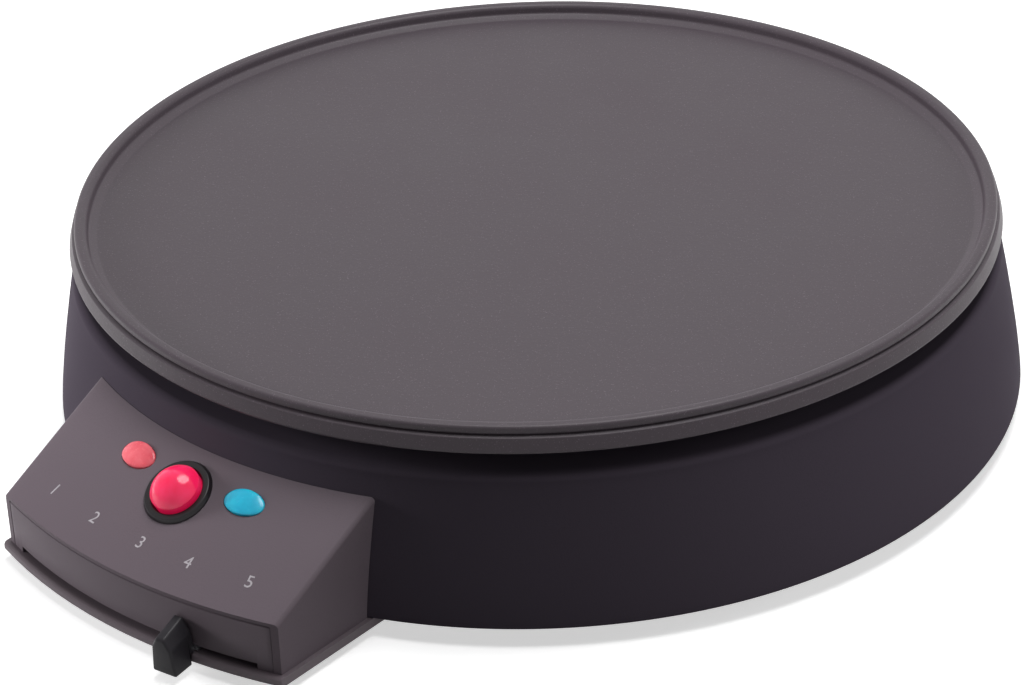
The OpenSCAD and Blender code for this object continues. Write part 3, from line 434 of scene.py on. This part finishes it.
def loft(rings):
    """Points and faces of a skin over rings of as many points each, closed at both ends."""
    count = len(rings[0])
    points = [p for ring in rings for p in ring]
    faces = []
    for k in range(len(rings) - 1):
        for i in range(count):
            j = (i + 1) % count
            faces.append((k * count + i, k * count + j, (k + 1) * count + j, (k + 1) * count + i))
    faces.append(tuple(range(count)))
    faces.append(tuple(range((len(rings) - 1) * count, len(rings) * count)))
    return points, faces


def placed(shape, matrix):
    """A shape moved by a matrix."""
    points, faces = shape
    return [matrix @ Vector(p) for p in points], faces


def joined(*shapes):
    """Several shapes as one."""
    points, faces = [], []
    for more_points, more_faces in shapes:
        faces += [tuple(i + len(points) for i in face) for face in more_faces]
        points += more_points
    return points, faces


def rod(diameter, bottom, top, around=48):
    """A cylinder along Z."""
    r = diameter / 2
    ring = [(r * math.cos(2 * math.pi * k / around), r * math.sin(2 * math.pi * k / around))
            for k in range(around)]
    return loft([[(x, y, z) for x, y in ring] for z in (bottom, top)])


def ellipse(length, width, steps=64):
    """Points (across, up) round an ellipse."""
    angles = [2 * math.pi * k / steps for k in range(steps)]
    return [(length / 2 * math.cos(a), width / 2 * math.sin(a)) for a in angles]


ON_AXIS = Matrix.Translation((0, AXIS_Y, 0))
FRONT = 270


def polar(degrees, reach=0.0):
    """A place at a direction from the drum's axis, counted anticlockwise from +X."""
    return ON_AXIS @ Matrix.Rotation(math.radians(degrees), 4, "Z") @ Matrix.Translation((reach, 0, 0))


def at(x, y):
    """A place measured from the drum's axis."""
    return ON_AXIS @ Matrix.Translation((x, y, 0))

# ---------------------------------------------------------------- bosses that the screws go into


PLATE_BOSSES = [polar(a, 113) for a in (45, 135, 225, 315)]
CLAMP_BOSSES = [polar(a, 103.5) for a in (8, 172, 243, 297)]
COVER_BOSSES = [polar(a, 146.5) for a in (0, 65, 115, 180, 245, 295)]
SHIELD_BOSSES = [polar(a, 136.5) for a in (30, 150, 210, 330)]
PLATE_BOSS = 12
CLAMP_BOSS = 7
COVER_BOSS = 8
SHIELD_BOSS = 7

# ---------------------------------------------------------------- griddle


LIP_WIDTH = 4.0
GROOVE_DEPTH = 0.8
SKIRT_REACH = high("griddle_plate").x
SKIRT_FLARE = 2.3
SKIRT_HEIGHT = 8.3
COOK_DEPTH = 4.5
PLATE_THICKNESS = 4.5
PLATE_REACH = SKIRT_REACH - SKIRT_FLARE
COOK_Z = TOP - COOK_DEPTH
PLATE_Z = COOK_Z - PLATE_THICKNESS
RIB_Z = low("griddle_plate").z
ELEMENT_REACH = 95.0
RIB_WIDTH = 12.0
ELEMENT_GROOVE = 3.7


def griddle():
    """The cast plate with its lip, groove and skirt, the element's rib, and the bosses underneath."""
    groove_z = TOP - LIP_WIDTH / 2 - 0.3
    inner = ELEMENT_REACH - RIB_WIDTH / 2
    outer = ELEMENT_REACH + RIB_WIDTH / 2
    groove = [
        (ELEMENT_REACH - ELEMENT_GROOVE * math.cos(a), RIB_Z + ELEMENT_GROOVE * math.sin(a), 0)
        for a in (math.pi * k / 12 for k in range(13))
    ]
    outline = rounded([
        (0, PLATE_Z, 0), (inner, PLATE_Z, 0), (inner, RIB_Z, 0.5), *groove, (outer, RIB_Z, 0.5),
        (outer, PLATE_Z, 0), (SKIRT_REACH - 5.5, PLATE_Z, 0.6),
        (SKIRT_REACH - 4.5, TOP - SKIRT_HEIGHT, 0.3), (SKIRT_REACH, TOP - SKIRT_HEIGHT, 0.9),
        (PLATE_REACH + 0.9, groove_z - 1.1, 0.5), (PLATE_REACH - GROOVE_DEPTH, groove_z - 0.5, 0.25),
        (PLATE_REACH - GROOVE_DEPTH, groove_z, 0.2), (PLATE_REACH, groove_z, 0.3),
        (PLATE_REACH, TOP, LIP_WIDTH / 2 - 0.05), (PLATE_REACH - LIP_WIDTH, TOP, LIP_WIDTH / 2 - 0.05),
        (PLATE_REACH - LIP_WIDTH - 0.4, COOK_Z + 1.2, 1.0), (PLATE_REACH - LIP_WIDTH - 3.2, COOK_Z, 2.0),
        (0, COOK_Z, 0),
    ], steps=8)
    bosses = [placed(rod(PLATE_BOSS, RIB_Z, PLATE_Z + 1), spot) for spot in PLATE_BOSSES]
    bosses += [placed(rod(CLAMP_BOSS, RIB_Z, PLATE_Z + 1), spot) for spot in CLAMP_BOSSES]
    obj = mesh_object("griddle", *placed(lathe(outline, 256), ON_AXIS))
    dress(obj, "nonstick", "base", "nonstick", "griddle_plate")
    under = mesh_object("griddle_bosses", *joined(*bosses))
    dress(under, "nonstick", "base", "nonstick")


griddle()

# ---------------------------------------------------------------- drum


FOOT_REACH = high("base_drum").x
RIM_REACH = 152.2
RIM_ROUND = 3.0
WALL = 2.5
WALL_BULGE = 1.25
LEDGE_REACH = 132.0
LEDGE_THICKNESS = 2.5
FIT_GAP = 0.2
GLAND_Z = (low("cord_gland").z + high("cord_gland").z) / 2
GLAND_HOLE = 13.4
WINDOW_HALF = 44.25
WINDOW_TOP = 40.65
LIP_REACH = 150.0
LIP_HEIGHT = 2.5
SHIELD_TOP = low("heat_shield").z + 0.8


def drum_reach(z):
    """How far the drum's bulging wall is from its axis, at a height."""
    share = max(z - FOOT, 0) / (RIM - RIM_ROUND - FOOT)
    return FOOT_REACH - (FOOT_REACH - RIM_REACH) * share ** WALL_BULGE


def block(x0, x1, y0, y1, z0, z1):
    """A box as two rings, with places measured from the drum's axis."""
    ring = [(x0, y0), (x1, y0), (x1, y1), (x0, y1)]
    return placed(loft([[(x, y, z) for x, y in ring] for z in (z0, z1)]), ON_AXIS)


def drum():
    """The base with its rim, ledge and foot lip, open behind the control box and for the gland."""
    heights = [FOOT + (RIM - RIM_ROUND - FOOT) * k / 28 for k in range(29)]
    wall_out = [(drum_reach(z), z, 0.7 if k == 0 else 0) for k, z in enumerate(heights)]
    round_top = [
        (RIM_REACH - RIM_ROUND + RIM_ROUND * math.cos(a), RIM - RIM_ROUND + RIM_ROUND * math.sin(a), 0)
        for a in (math.pi / 2 * k / 10 for k in range(1, 11))
    ]
    under = RIM - LEDGE_THICKNESS
    lip_top = FOOT + LIP_HEIGHT
    wall_in = [(drum_reach(z) - WALL, z, 0) for z in reversed(heights) if lip_top + 1 < z < under - 1]
    outline = rounded(wall_out + round_top + [
        (LEDGE_REACH, RIM, 0.5), (LEDGE_REACH, under, 0.3), (drum_reach(under) - WALL, under, 0.8)
    ] + wall_in + [
        (drum_reach(lip_top) - WALL, lip_top, 0.3), (LIP_REACH, lip_top, 0.4), (LIP_REACH, FOOT, 0.3)
    ], steps=5)
    obj = mesh_object("drum", *placed(lathe(outline, 256), ON_AXIS))
    gland = placed(rod(GLAND_HOLE, 0, 40), Matrix.Translation((0, AXIS_Y + 140, GLAND_Z)) @
                   Matrix.Rotation(math.radians(-90), 4, "X"))
    cut(obj,
        mesh_object("cutter", *block(-WINDOW_HALF, WINDOW_HALF, -180, -120, FOOT - 1, WINDOW_TOP)),
        mesh_object("cutter", *gland))
    dress(obj, "drum_plastic", "base", "drum_plastic", "base_drum")
    pillars = [placed(rod(COVER_BOSS, COVER_TOP, under + 0.5), spot) for spot in COVER_BOSSES]
    pillars += [placed(rod(SHIELD_BOSS, SHIELD_TOP, under + 0.5), spot) for spot in SHIELD_BOSSES]
    dress(mesh_object("drum_pillars", *joined(*pillars)), "drum_plastic", "base", "drum_plastic")


drum()

# ---------------------------------------------------------------- control box


JOINTS = {joint["name"]: joint for joint in frame["record"]["behaviour"]["joints"]}
INWARD = Vector(JOINTS["button_press"]["axis"])
SLOPE = math.atan2(math.hypot(INWARD.x, INWARD.y), -INWARD.z)
PANEL_FRONT = 23.4
PANEL_EDGE = 1.0
EDGE_DEPTH = 2.7
CORNER = 1.3
BOX_BOSS = 6
BOX_BOSS_X = BOX_HALF - 5.3
BOX_BOSS_Y = 24.8 - REACH
LUG = 7
LUG_ANGLE = 18.94
LUG_Z = FOOT + 16
LUG_END = 168


def panel_z(reach):
    """How high the panel is, at a distance from the drum's axis."""
    return PANEL_FRONT + (REACH - reach) * math.tan(SLOPE)


def on_panel(turn, reach):
    """A place on the conical panel: +Z is its outward normal and +Y runs up the slope."""
    around = ON_AXIS @ Matrix.Rotation(turn, 4, "Z")
    return around @ Matrix.Translation((0, -reach, panel_z(reach))) @ Matrix.Rotation(SLOPE, 4, "X")


def above(node):
    """The place on the panel that a node under it is square to."""
    middle = (low(node) + high(node)) / 2 - Vector((0, AXIS_Y, 0))
    reach = math.hypot(middle.x, middle.y)
    depth = (panel_z(reach) - middle.z) * math.cos(SLOPE)
    return on_panel(math.atan2(middle.x, -middle.y), reach + depth * math.sin(SLOPE))


BUTTON = above("switch_plunger")
RED_LENS = above("power_lamp_holder")
BLUE_LENS = above("ready_lamp_holder")


def housing_outline(inner):
    """Half of a section across the box, as (x, share of the way down, drop below the panel)."""
    half = BOX_HALF - (WALL if inner else 0)
    corner = 0.4 if inner else CORNER
    side = [(half, 1 - k / 8, corner) for k in range(8)]
    bend = [(half - corner + corner * math.cos(a), 0, corner - corner * math.sin(a))
            for a in (math.pi / 2 * k / 6 for k in range(7))]
    across = [((half - corner) * (1 - k / 18), 0, 0) for k in range(1, 19)]
    return side + bend + across


def housing_row(inner, front_gap, share, drop):
    """One row of points across the box, at a share of the way from the front to the drum."""
    half = housing_outline(inner)
    row = half + [(-x, down, sink) for x, down, sink in reversed(half[:-1])]
    points = []
    for x, down, sink in row:
        start = -math.sqrt((REACH - front_gap) ** 2 - x * x)
        y, z = start, PANEL_FRONT
        for _ in range(12):
            end = -math.sqrt((drum_reach(z) + FIT_GAP) ** 2 - x * x)
            y = start + (end - start) * share
            z = panel_z(math.hypot(x, y)) - (drop if inner else 0) / math.cos(SLOPE) - sink
            z += (COVER_TOP - z) * down
        points.append((x, y, z))
    return points


def housing():
    """The box: an outer and an inner skin over the same rows, joined round their edges."""
    rows = [(0, 0, PANEL_EDGE), (EDGE_DEPTH, 0, PANEL_EDGE)]
    rows += [(EDGE_DEPTH, k / 12, WALL) for k in range(13)]
    skins = [[housing_row(inner, *row) for row in rows] for inner in (False, True)]
    across = len(skins[0][0])
    inside = len(rows) * across
    points = [p for skin in skins for row in skin for p in row]
    faces = []
    for k in range(len(rows) - 1):
        for i in range(across - 1):
            a = k * across + i
            faces.append((a, a + 1, a + across + 1, a + across))
            faces.append(tuple(inside + v for v in (a + across, a + across + 1, a + 1, a)))
        for a in (k * across, (k + 1) * across - 1):
            faces.append((a, a + across, inside + a + across, inside + a))
    for start in (0, (len(rows) - 1) * across):
        for i in range(start, start + across - 1):
            faces.append((i, i + 1, inside + i + 1, inside + i))
    obj = mesh_object("housing", *placed((points, faces), ON_AXIS))
    round_edges(obj, 0.3, steps=2, angle=50)
    cutters = [mesh_object("cutter", *placed(rod(SLEEVE + 2 * FIT_GAP, *THROUGH, 64), BUTTON))]
    for spot in (RED_LENS, BLUE_LENS):
        cutters.append(mesh_object("cutter", *placed(lens_hole(0.15), spot)))
    cut(obj, *cutters)
    dress(obj, "panel_plastic", "base", "panel_plastic", "control_housing")


def lens_hole(gap):
    """The hole for a lens, with a gap all round."""
    outline = ellipse(LENS_LENGTH + 2 * gap, LENS_WIDTH + 2 * gap)
    return loft([[(x, y, z) for x, y in outline] for z in THROUGH])


def housing_bosses():
    """Screw bosses under the panel, and the lugs that the drum's screws go into."""
    shapes = []
    for side in (-1, 1):
        points, faces = rod(BOX_BOSS, COVER_TOP, 0)
        tall = [(x + side * BOX_BOSS_X, y + BOX_BOSS_Y, z) for x, y, z in points]
        tall = [(x, y, z if z else panel_z(math.hypot(x, y)) - 1.5) for x, y, z in tall]
        shapes.append(placed((tall, faces), ON_AXIS))
        level = Matrix.Translation((0, 0, LUG_Z)) @ Matrix.Rotation(math.radians(90), 4, "Y")
        reach = drum_reach(LUG_Z) + FIT_GAP
        shapes.append(placed(rod(LUG, reach, LUG_END), polar(FRONT + side * LUG_ANGLE) @ level))
    dress(mesh_object("housing_bosses", *joined(*shapes)), "panel_plastic", "base", "panel_plastic")


FASCIA_OUT = REACH - 0.1
FASCIA_IN = REACH - WALL
FASCIA_HALF = BOX_HALF - WALL - FIT_GAP
FASCIA_DROP = 1.7
SLOT_HALF = 15.06
SLOT_TOP = 8.0


def arc_wall(reach_in, reach_out, angles, bottom, top):
    """A curved wall in front of the axis; top is a height, or None for just under the panel."""
    rings = []
    for a in angles:
        x, y = math.sin(math.radians(a)), -math.cos(math.radians(a))
        ring = []
        for reach, upper in ((reach_in, False), (reach_out, False), (reach_out, True), (reach_in, True)):
            z = bottom
            if upper:
                z = top or panel_z(reach) - FASCIA_DROP / math.cos(SLOPE)
            ring.append((x * reach, y * reach, z))
        rings.append(ring)
    return placed(loft(rings), ON_AXIS)


def fascia():
    """The curved front wall, with the slot that the lever swings in."""
    half = math.degrees(math.asin(FASCIA_HALF / FASCIA_OUT))
    angles = [half * (k / 32 - 1) for k in range(65)]
    obj = mesh_object("fascia", *arc_wall(FASCIA_IN, FASCIA_OUT, angles, COVER_TOP, None))
    angles = [SLOT_HALF * (k / 20 - 1) for k in range(41)]
    slot = arc_wall(FASCIA_IN - 2, FASCIA_OUT + 2, angles, COVER_TOP - 2, SLOT_TOP)
    cut(obj, mesh_object("cutter", *slot))
    round_edges(obj, 0.35, steps=2, angle=50)
    dress(obj, "fascia_plastic", "base", "fascia_plastic", "front_fascia")


CAP = 16.0
BEZEL = 22.6
BEZEL_HEIGHT = 1.4
BEZEL_BORE = CAP + 0.8
SLEEVE = BEZEL_BORE + 2.2
SWITCH_DOWN = 7.3
CAP_DOWN = 4.4
CAP_RISE = 7.6
CAP_EDGE = 3.0
PLUNGER_HOLE = 5.4
LENS_LENGTH = 14.0
LENS_WIDTH = 8.6
LENS_TOP = 1.3
LENS_DOME = 20.0
THROUGH = (-12, 2)


def bezel():
    """The black ring with its sleeve; its foot follows the fall of the conical panel."""
    outline = rounded([
        (BEZEL_BORE / 2, BEZEL_HEIGHT, 0.45), (BEZEL / 2 - 0.8, BEZEL_HEIGHT, 0.5), (BEZEL / 2, 0.03, 0.15),
        (SLEEVE / 2, 0.03, 0.1), (SLEEVE / 2, -SWITCH_DOWN, 0.3), (BEZEL_BORE / 2, -SWITCH_DOWN, 0.3),
    ])
    points, faces = lathe(outline, 96)
    fall = math.sin(SLOPE) / (2 * (AXIS_Y - BUTTON.translation.y))
    points = [(x, y, z - fall * x * x if 0 < z < 0.2 else z) for x, y, z in points]
    obj = mesh_object("bezel", *placed((points, faces), BUTTON))
    dress(obj, "black_plastic", "base", "black_plastic", "button_bezel")


def button():
    """The domed cap, hollow below for the switch's plunger."""
    rise = CAP_RISE - CAP_EDGE
    dome = ((CAP / 2) ** 2 + rise ** 2) / (2 * rise)
    arc = math.asin(CAP / 2 / dome)
    shell = [(dome * math.sin(arc * k / 20), CAP_RISE - dome + dome * math.cos(arc * k / 20), 0)
             for k in range(19)]
    outline = rounded(shell + [
        (CAP / 2, CAP_EDGE, 0.6), (CAP / 2, -CAP_DOWN, 0.4), (PLUNGER_HOLE / 2, -CAP_DOWN, 0.2),
        (PLUNGER_HOLE / 2, 2 - CAP_DOWN, 0), (0, 2 - CAP_DOWN, 0),
    ])
    obj = mesh_object("button", *placed(lathe(outline, 96), BUTTON))
    dress(obj, "red_cap", "button", "red_cap", "power_button")


def lens(name, spot, finish, node):
    """An oval lens: a clipped foot under the panel, a wall in its hole, and a shallow dome."""
    def ring(grow, z, share=1.0):
        points = []
        for x, y in ellipse((LENS_LENGTH + 2 * grow) * share, (LENS_WIDTH + 2 * grow) * share):
            height = LENS_TOP - LENS_DOME + math.sqrt(LENS_DOME ** 2 - x * x - y * y)
            points.append((x, y, height + z if z > -0.5 else z))
        return points
    rings = [ring(0.8, -WALL - 1.6), ring(0.8, -WALL - 0.15), ring(0, -WALL - 0.15)]
    rings += [ring(0, -0.3), ring(-0.1, -0.08), ring(-0.3, 0)]
    rings += [ring(-0.3, 0, share) for share in (0.85, 0.65, 0.45, 0.25, 0.08, 0.01)]
    obj = mesh_object(name, *placed(loft(rings), spot), crease=50)
    dress(obj, finish, "base", finish, node)


housing()
housing_bosses()
fascia()
bezel()
button()
lens("lens_red", RED_LENS, "red_lens", "power_lens")
lens("lens_blue", BLUE_LENS, "blue_lens", "ready_lens")

# ---------------------------------------------------------------- knob of the heat lever


KNOB_ANGLE = 7.6
KNOB_IN = REACH + 0.6
KNOB_END = REACH + 10.4
KNOB_HALF = 4.3
KNOB_FOOT = low("lever_knob").z
KNOB_HEIGHT = 12.0
KNOB_TOP_IN = PANEL_FRONT - 6
KNOB_ROUND = 0.9
RIDGE = (-2.2, 0.6)


def knob_section(reach, bottom, inset):
    """The fin across the lever: steep flanks that draw in to a rounded ridge."""
    share = (reach - KNOB_IN) / (KNOB_END - KNOB_IN)
    top = KNOB_TOP_IN + (KNOB_FOOT + KNOB_HEIGHT - KNOB_TOP_IN) * share
    shoulder = KNOB_FOOT + (top - KNOB_FOOT) * 0.72
    corners = [
        (-KNOB_HALF, bottom, 0.5), (KNOB_HALF, bottom, 0.5), (KNOB_HALF - 1.2, shoulder, 3.0),
        (RIDGE[1], top, 1.2), (RIDGE[0], top, 1.2), (-KNOB_HALF + 0.3, shoulder, 3.0),
    ]
    middle = Vector((0, (bottom + top) / 2))
    points = []
    for across, up in rounded(corners, steps=7):
        out = Vector((across, up)) - middle
        across, up = middle + out * (1 - inset / out.length)
        points.append((reach, across, up))
    return points


def knob():
    """The fin, cut away at its foot to pass over the cover's tongue, with a rounded outer end."""
    over = TONGUE_REACH + 0.6
    shoulder = COVER_TOP + 0.4
    rings = [knob_section(KNOB_IN, shoulder, 0.3)]
    rings += [knob_section(KNOB_IN + 0.3, shoulder, 0), knob_section(over, shoulder, 0)]
    rings.append(knob_section(over, KNOB_FOOT, 0))
    for k in range(6):
        a = math.pi / 2 * k / 5
        reach = KNOB_END - KNOB_ROUND * (1 - math.sin(a))
        rings.append(knob_section(reach, KNOB_FOOT, KNOB_ROUND * (1 - math.cos(a))))
    obj = mesh_object("knob", *placed(loft(rings), polar(FRONT + KNOB_ANGLE)))
    dress(obj, "knob_plastic", "lever", "knob_plastic", "lever_knob")


knob()

# ---------------------------------------------------------------- screw heads under the base


def cross_head(diameter, height):
    """A pan head seen from below, with a cross recess; its face looks down."""
    outline = rounded([(0, 0, 0), (diameter / 2, 0, 0.6), (diameter / 2, height, 0.1), (0, height, 0)])
    return lathe(outline, 48)


def screws(name, node, places, diameter, height, shank, seat, tip):
    """Heads with cross recesses in place of a CAD node, and their shanks up to the tip."""
    shapes = []
    cutters = []
    for spot in places:
        spot = spot @ Matrix.Translation((0, 0, seat - height))
        shapes.append(placed(cross_head(diameter, height), spot))
        for turn in (0, 90):
            arm = Matrix.Rotation(math.radians(turn), 4, "Z")
            half = diameter * 0.3
            ring = [(-half, -0.45), (half, -0.45), (half, 0.45), (-half, 0.45)]
            deep = [(x * 0.55, y * 0.8) for x, y in ring]
            bar = loft([[(x, y, -0.5) for x, y in ring], [(x, y, height * 0.6) for x, y in deep]])
            cutters.append(placed(bar, spot @ arm))
    obj = mesh_object(name, *joined(*shapes))
    for k in (0, 1):
        cut(obj, mesh_object("cutter", *joined(*cutters[k::2])))
    dress(obj, "screw_steel", "base", "screw_steel", node)
    stems = [placed(rod(shank, seat - 0.2, tip, 32), spot) for spot in places]
    dress(mesh_object(name + "_stems", *joined(*stems)), "screw_steel", "base", "screw_steel")


screws("cover_screw", "cover_screws",
       COVER_BOSSES + [at(side * BOX_BOSS_X, BOX_BOSS_Y) for side in (-1, 1)],
       diameter=6.4, height=1.4, shank=3.4, seat=COVER_LOW + 1.6, tip=COVER_TOP + 9)
screws("plate_screw", "plate_screws", PLATE_BOSSES,
       diameter=8.0, height=3.2, shank=4.0, seat=COVER_LOW + 5.5, tip=PLATE_Z + 1.5)

# ---------------------------------------------------------------- printed numbers


NUMBER_HEIGHT = 4.0
INK_THICKNESS = 0.04
NUMBER_REACH = 184.7
NUMBER_TURNS = {"1": -12.8, "2": -6.1, "3": 0.4, "4": 6.3, "5": 13.1}


def number(text, turn):
    """A printed number as a very thin plate that stands on the panel."""
    curve = bpy.data.curves.new("writing", "FONT")
    curve.body = text
    curve.align_x = "CENTER"
    curve.align_y = "CENTER"
    curve.size = NUMBER_HEIGHT / 0.7
    curve.extrude = INK_THICKNESS / 2
    writing = bpy.data.objects.new("writing", curve)
    bpy.context.scene.collection.objects.link(writing)
    graph = bpy.context.evaluated_depsgraph_get()
    plate = writing.evaluated_get(graph).to_mesh()
    spot = on_panel(math.radians(turn), NUMBER_REACH) @ Matrix.Translation((0, 0, INK_THICKNESS / 2))
    shape = ([v.co.copy() for v in plate.vertices], [tuple(f.vertices) for f in plate.polygons])
    obj = mesh_object("number_" + text, *placed(shape, spot))
    bpy.data.objects.remove(writing)
    dress(obj, "ink", "base", "white_plastic")


for text, turn in NUMBER_TURNS.items():
    number(text, turn)

# ---------------------------------------------------------------- camera, floor and light


AZIMUTH = 41.63
ELEVATION = 29.87
ROLL = -2.33
DISTANCE = 1100.0
LENS = 115.21
AIM = (-9.24, 12.06)
LAMP_AIM = Vector((0, AXIS_Y, 30))
LAMP_DISTANCE = 1200.0
WORLD_LIGHT = 0.04
FLOOR_REACH = 4000
FLOOR_BOUNCE = (110, 110, 110)
FLOOR_GLOW = 0.55
FLOOR_FADE = (300, 900)


def direction(azimuth, elevation):
    """Towards a viewer at an azimuth (from the front, anticlockwise seen from above) and elevation."""
    a, e = math.radians(azimuth), math.radians(elevation)
    return Vector((math.sin(a) * math.cos(e), -math.cos(a) * math.cos(e), math.sin(e)))


def frame_at(back, roll=0.0):
    """A turn whose +Z points back at the viewer and whose +Y is up, rolled by degrees."""
    across = Vector((0, 0, 1)).cross(back).normalized()
    up = back.cross(across)
    axes = Matrix((across, up, back)).transposed()
    return (axes @ Matrix.Rotation(math.radians(roll), 3, "Z")).to_4x4()


def place_camera():
    """The photograph's camera; AIM is what it looks at, to the right of and above the drum's foot."""
    data = bpy.data.cameras.new("photo_view")
    data.lens = LENS
    data.sensor_width = 36
    data.clip_start = 0.05
    data.clip_end = 20
    camera = bpy.data.objects.new("photo_view", data)
    bpy.context.scene.collection.objects.link(camera)
    back = direction(AZIMUTH, ELEVATION)
    across = Vector((0, 0, 1)).cross(back).normalized()
    aim = Vector((0, AXIS_Y, 0)) + across * AIM[0] + Vector((0, 0, AIM[1]))
    camera.matrix_world = Matrix.Translation((aim + back * DISTANCE) * MM) @ frame_at(back, ROLL)
    bpy.context.scene.camera = camera


def seen_or_mirrored(tree):
    """1 for rays of the camera, of reflections and of glass, and 0 for rays that gather light."""
    path = tree.nodes.new("ShaderNodeLightPath")
    total = path.outputs["Is Camera Ray"]
    for kind in ("Is Glossy Ray", "Is Transmission Ray"):
        either = tree.nodes.new("ShaderNodeMath")
        either.operation = "MAXIMUM"
        tree.links.new(total, either.inputs[0])
        tree.links.new(path.outputs[kind], either.inputs[1])
        total = either.outputs[0]
    return total


def place_floor():
    """A pale table that keeps the shadow and turns into the white backdrop further out."""
    corners = [(x * FLOOR_REACH, y * FLOOR_REACH, 0) for x, y in ((-1, -1), (1, -1), (1, 1), (-1, 1))]
    obj = mesh_object("table", corners, [(0, 1, 2, 3)])
    look = Look("pale_table", srgb(246, 246, 246), 0.6, Specular_IOR_Level=0.2)
    look.tint(look.noise(3.0, detail=2), srgb(244, 244, 244), srgb(248, 248, 248))
    plain = look.node("ShaderNodeBsdfDiffuse")
    plain.inputs["Color"].default_value = srgb(*FLOOR_BOUNCE)
    glow = look.node("ShaderNodeEmission")
    away = look.node("ShaderNodeVectorMath", operation="LENGTH")
    look.link(look.place, away.inputs[0])
    start, end = (reach * MM for reach in FLOOR_FADE)
    look.link(look.remap(away.outputs["Value"], FLOOR_GLOW, 1.0, start, end), glow.inputs["Strength"])
    seen = look.node("ShaderNodeAddShader")
    look.link(look.shader.outputs["BSDF"], seen.inputs[0])
    look.link(glow.outputs["Emission"], seen.inputs[1])
    choice = look.node("ShaderNodeMixShader")
    look.link(seen_or_mirrored(look.tree), choice.inputs[0])
    look.link(plain.outputs["BSDF"], choice.inputs[1])
    look.link(seen.outputs["Shader"], choice.inputs[2])
    look.link(choice.outputs["Shader"], look.tree.nodes["Material Output"].inputs["Surface"])
    obj.data.materials.append(look.material)


def place_light(name, azimuth, elevation, size, power, mirrored):
    """A round lamp of a size in millimetres and a power in watts, aimed at the object."""
    data = bpy.data.lights.new(name, "AREA")
    data.shape = "DISK"
    data.size = size * MM
    data.energy = power
    light = bpy.data.objects.new(name, data)
    bpy.context.scene.collection.objects.link(light)
    back = direction(azimuth, elevation)
    light.matrix_world = Matrix.Translation((LAMP_AIM + back * LAMP_DISTANCE) * MM) @ frame_at(back)
    light.visible_glossy = mirrored


def place_world():
    """White where it is seen or mirrored, softer where it lights the object."""
    world = bpy.data.worlds.new("studio")
    world.use_nodes = True
    tree = world.node_tree
    tree.nodes.clear()
    soft = tree.nodes.new("ShaderNodeBackground")
    soft.inputs["Color"].default_value = (1, 1, 1, 1)
    soft.inputs["Strength"].default_value = WORLD_LIGHT
    white = tree.nodes.new("ShaderNodeBackground")
    white.inputs["Color"].default_value = (1, 1, 1, 1)
    white.inputs["Strength"].default_value = 1.0
    mix = tree.nodes.new("ShaderNodeMixShader")
    tree.links.new(seen_or_mirrored(tree), mix.inputs[0])
    tree.links.new(soft.outputs[0], mix.inputs[1])
    tree.links.new(white.outputs[0], mix.inputs[2])
    out = tree.nodes.new("ShaderNodeOutputWorld")
    tree.links.new(mix.outputs[0], out.inputs["Surface"])
    bpy.context.scene.world = world


place_world()
place_camera()
place_floor()
place_light("key", azimuth=150, elevation=82, size=800, power=12.5, mirrored=True)
place_light("left", azimuth=-58, elevation=11, size=350, power=11, mirrored=False)
place_light("right", azimuth=88, elevation=10, size=350, power=2.0, mirrored=False)
place_light("back", azimuth=135, elevation=12, size=400, power=3.0, mirrored=False)
bpy.context.scene.view_settings.view_transform = "Standard"
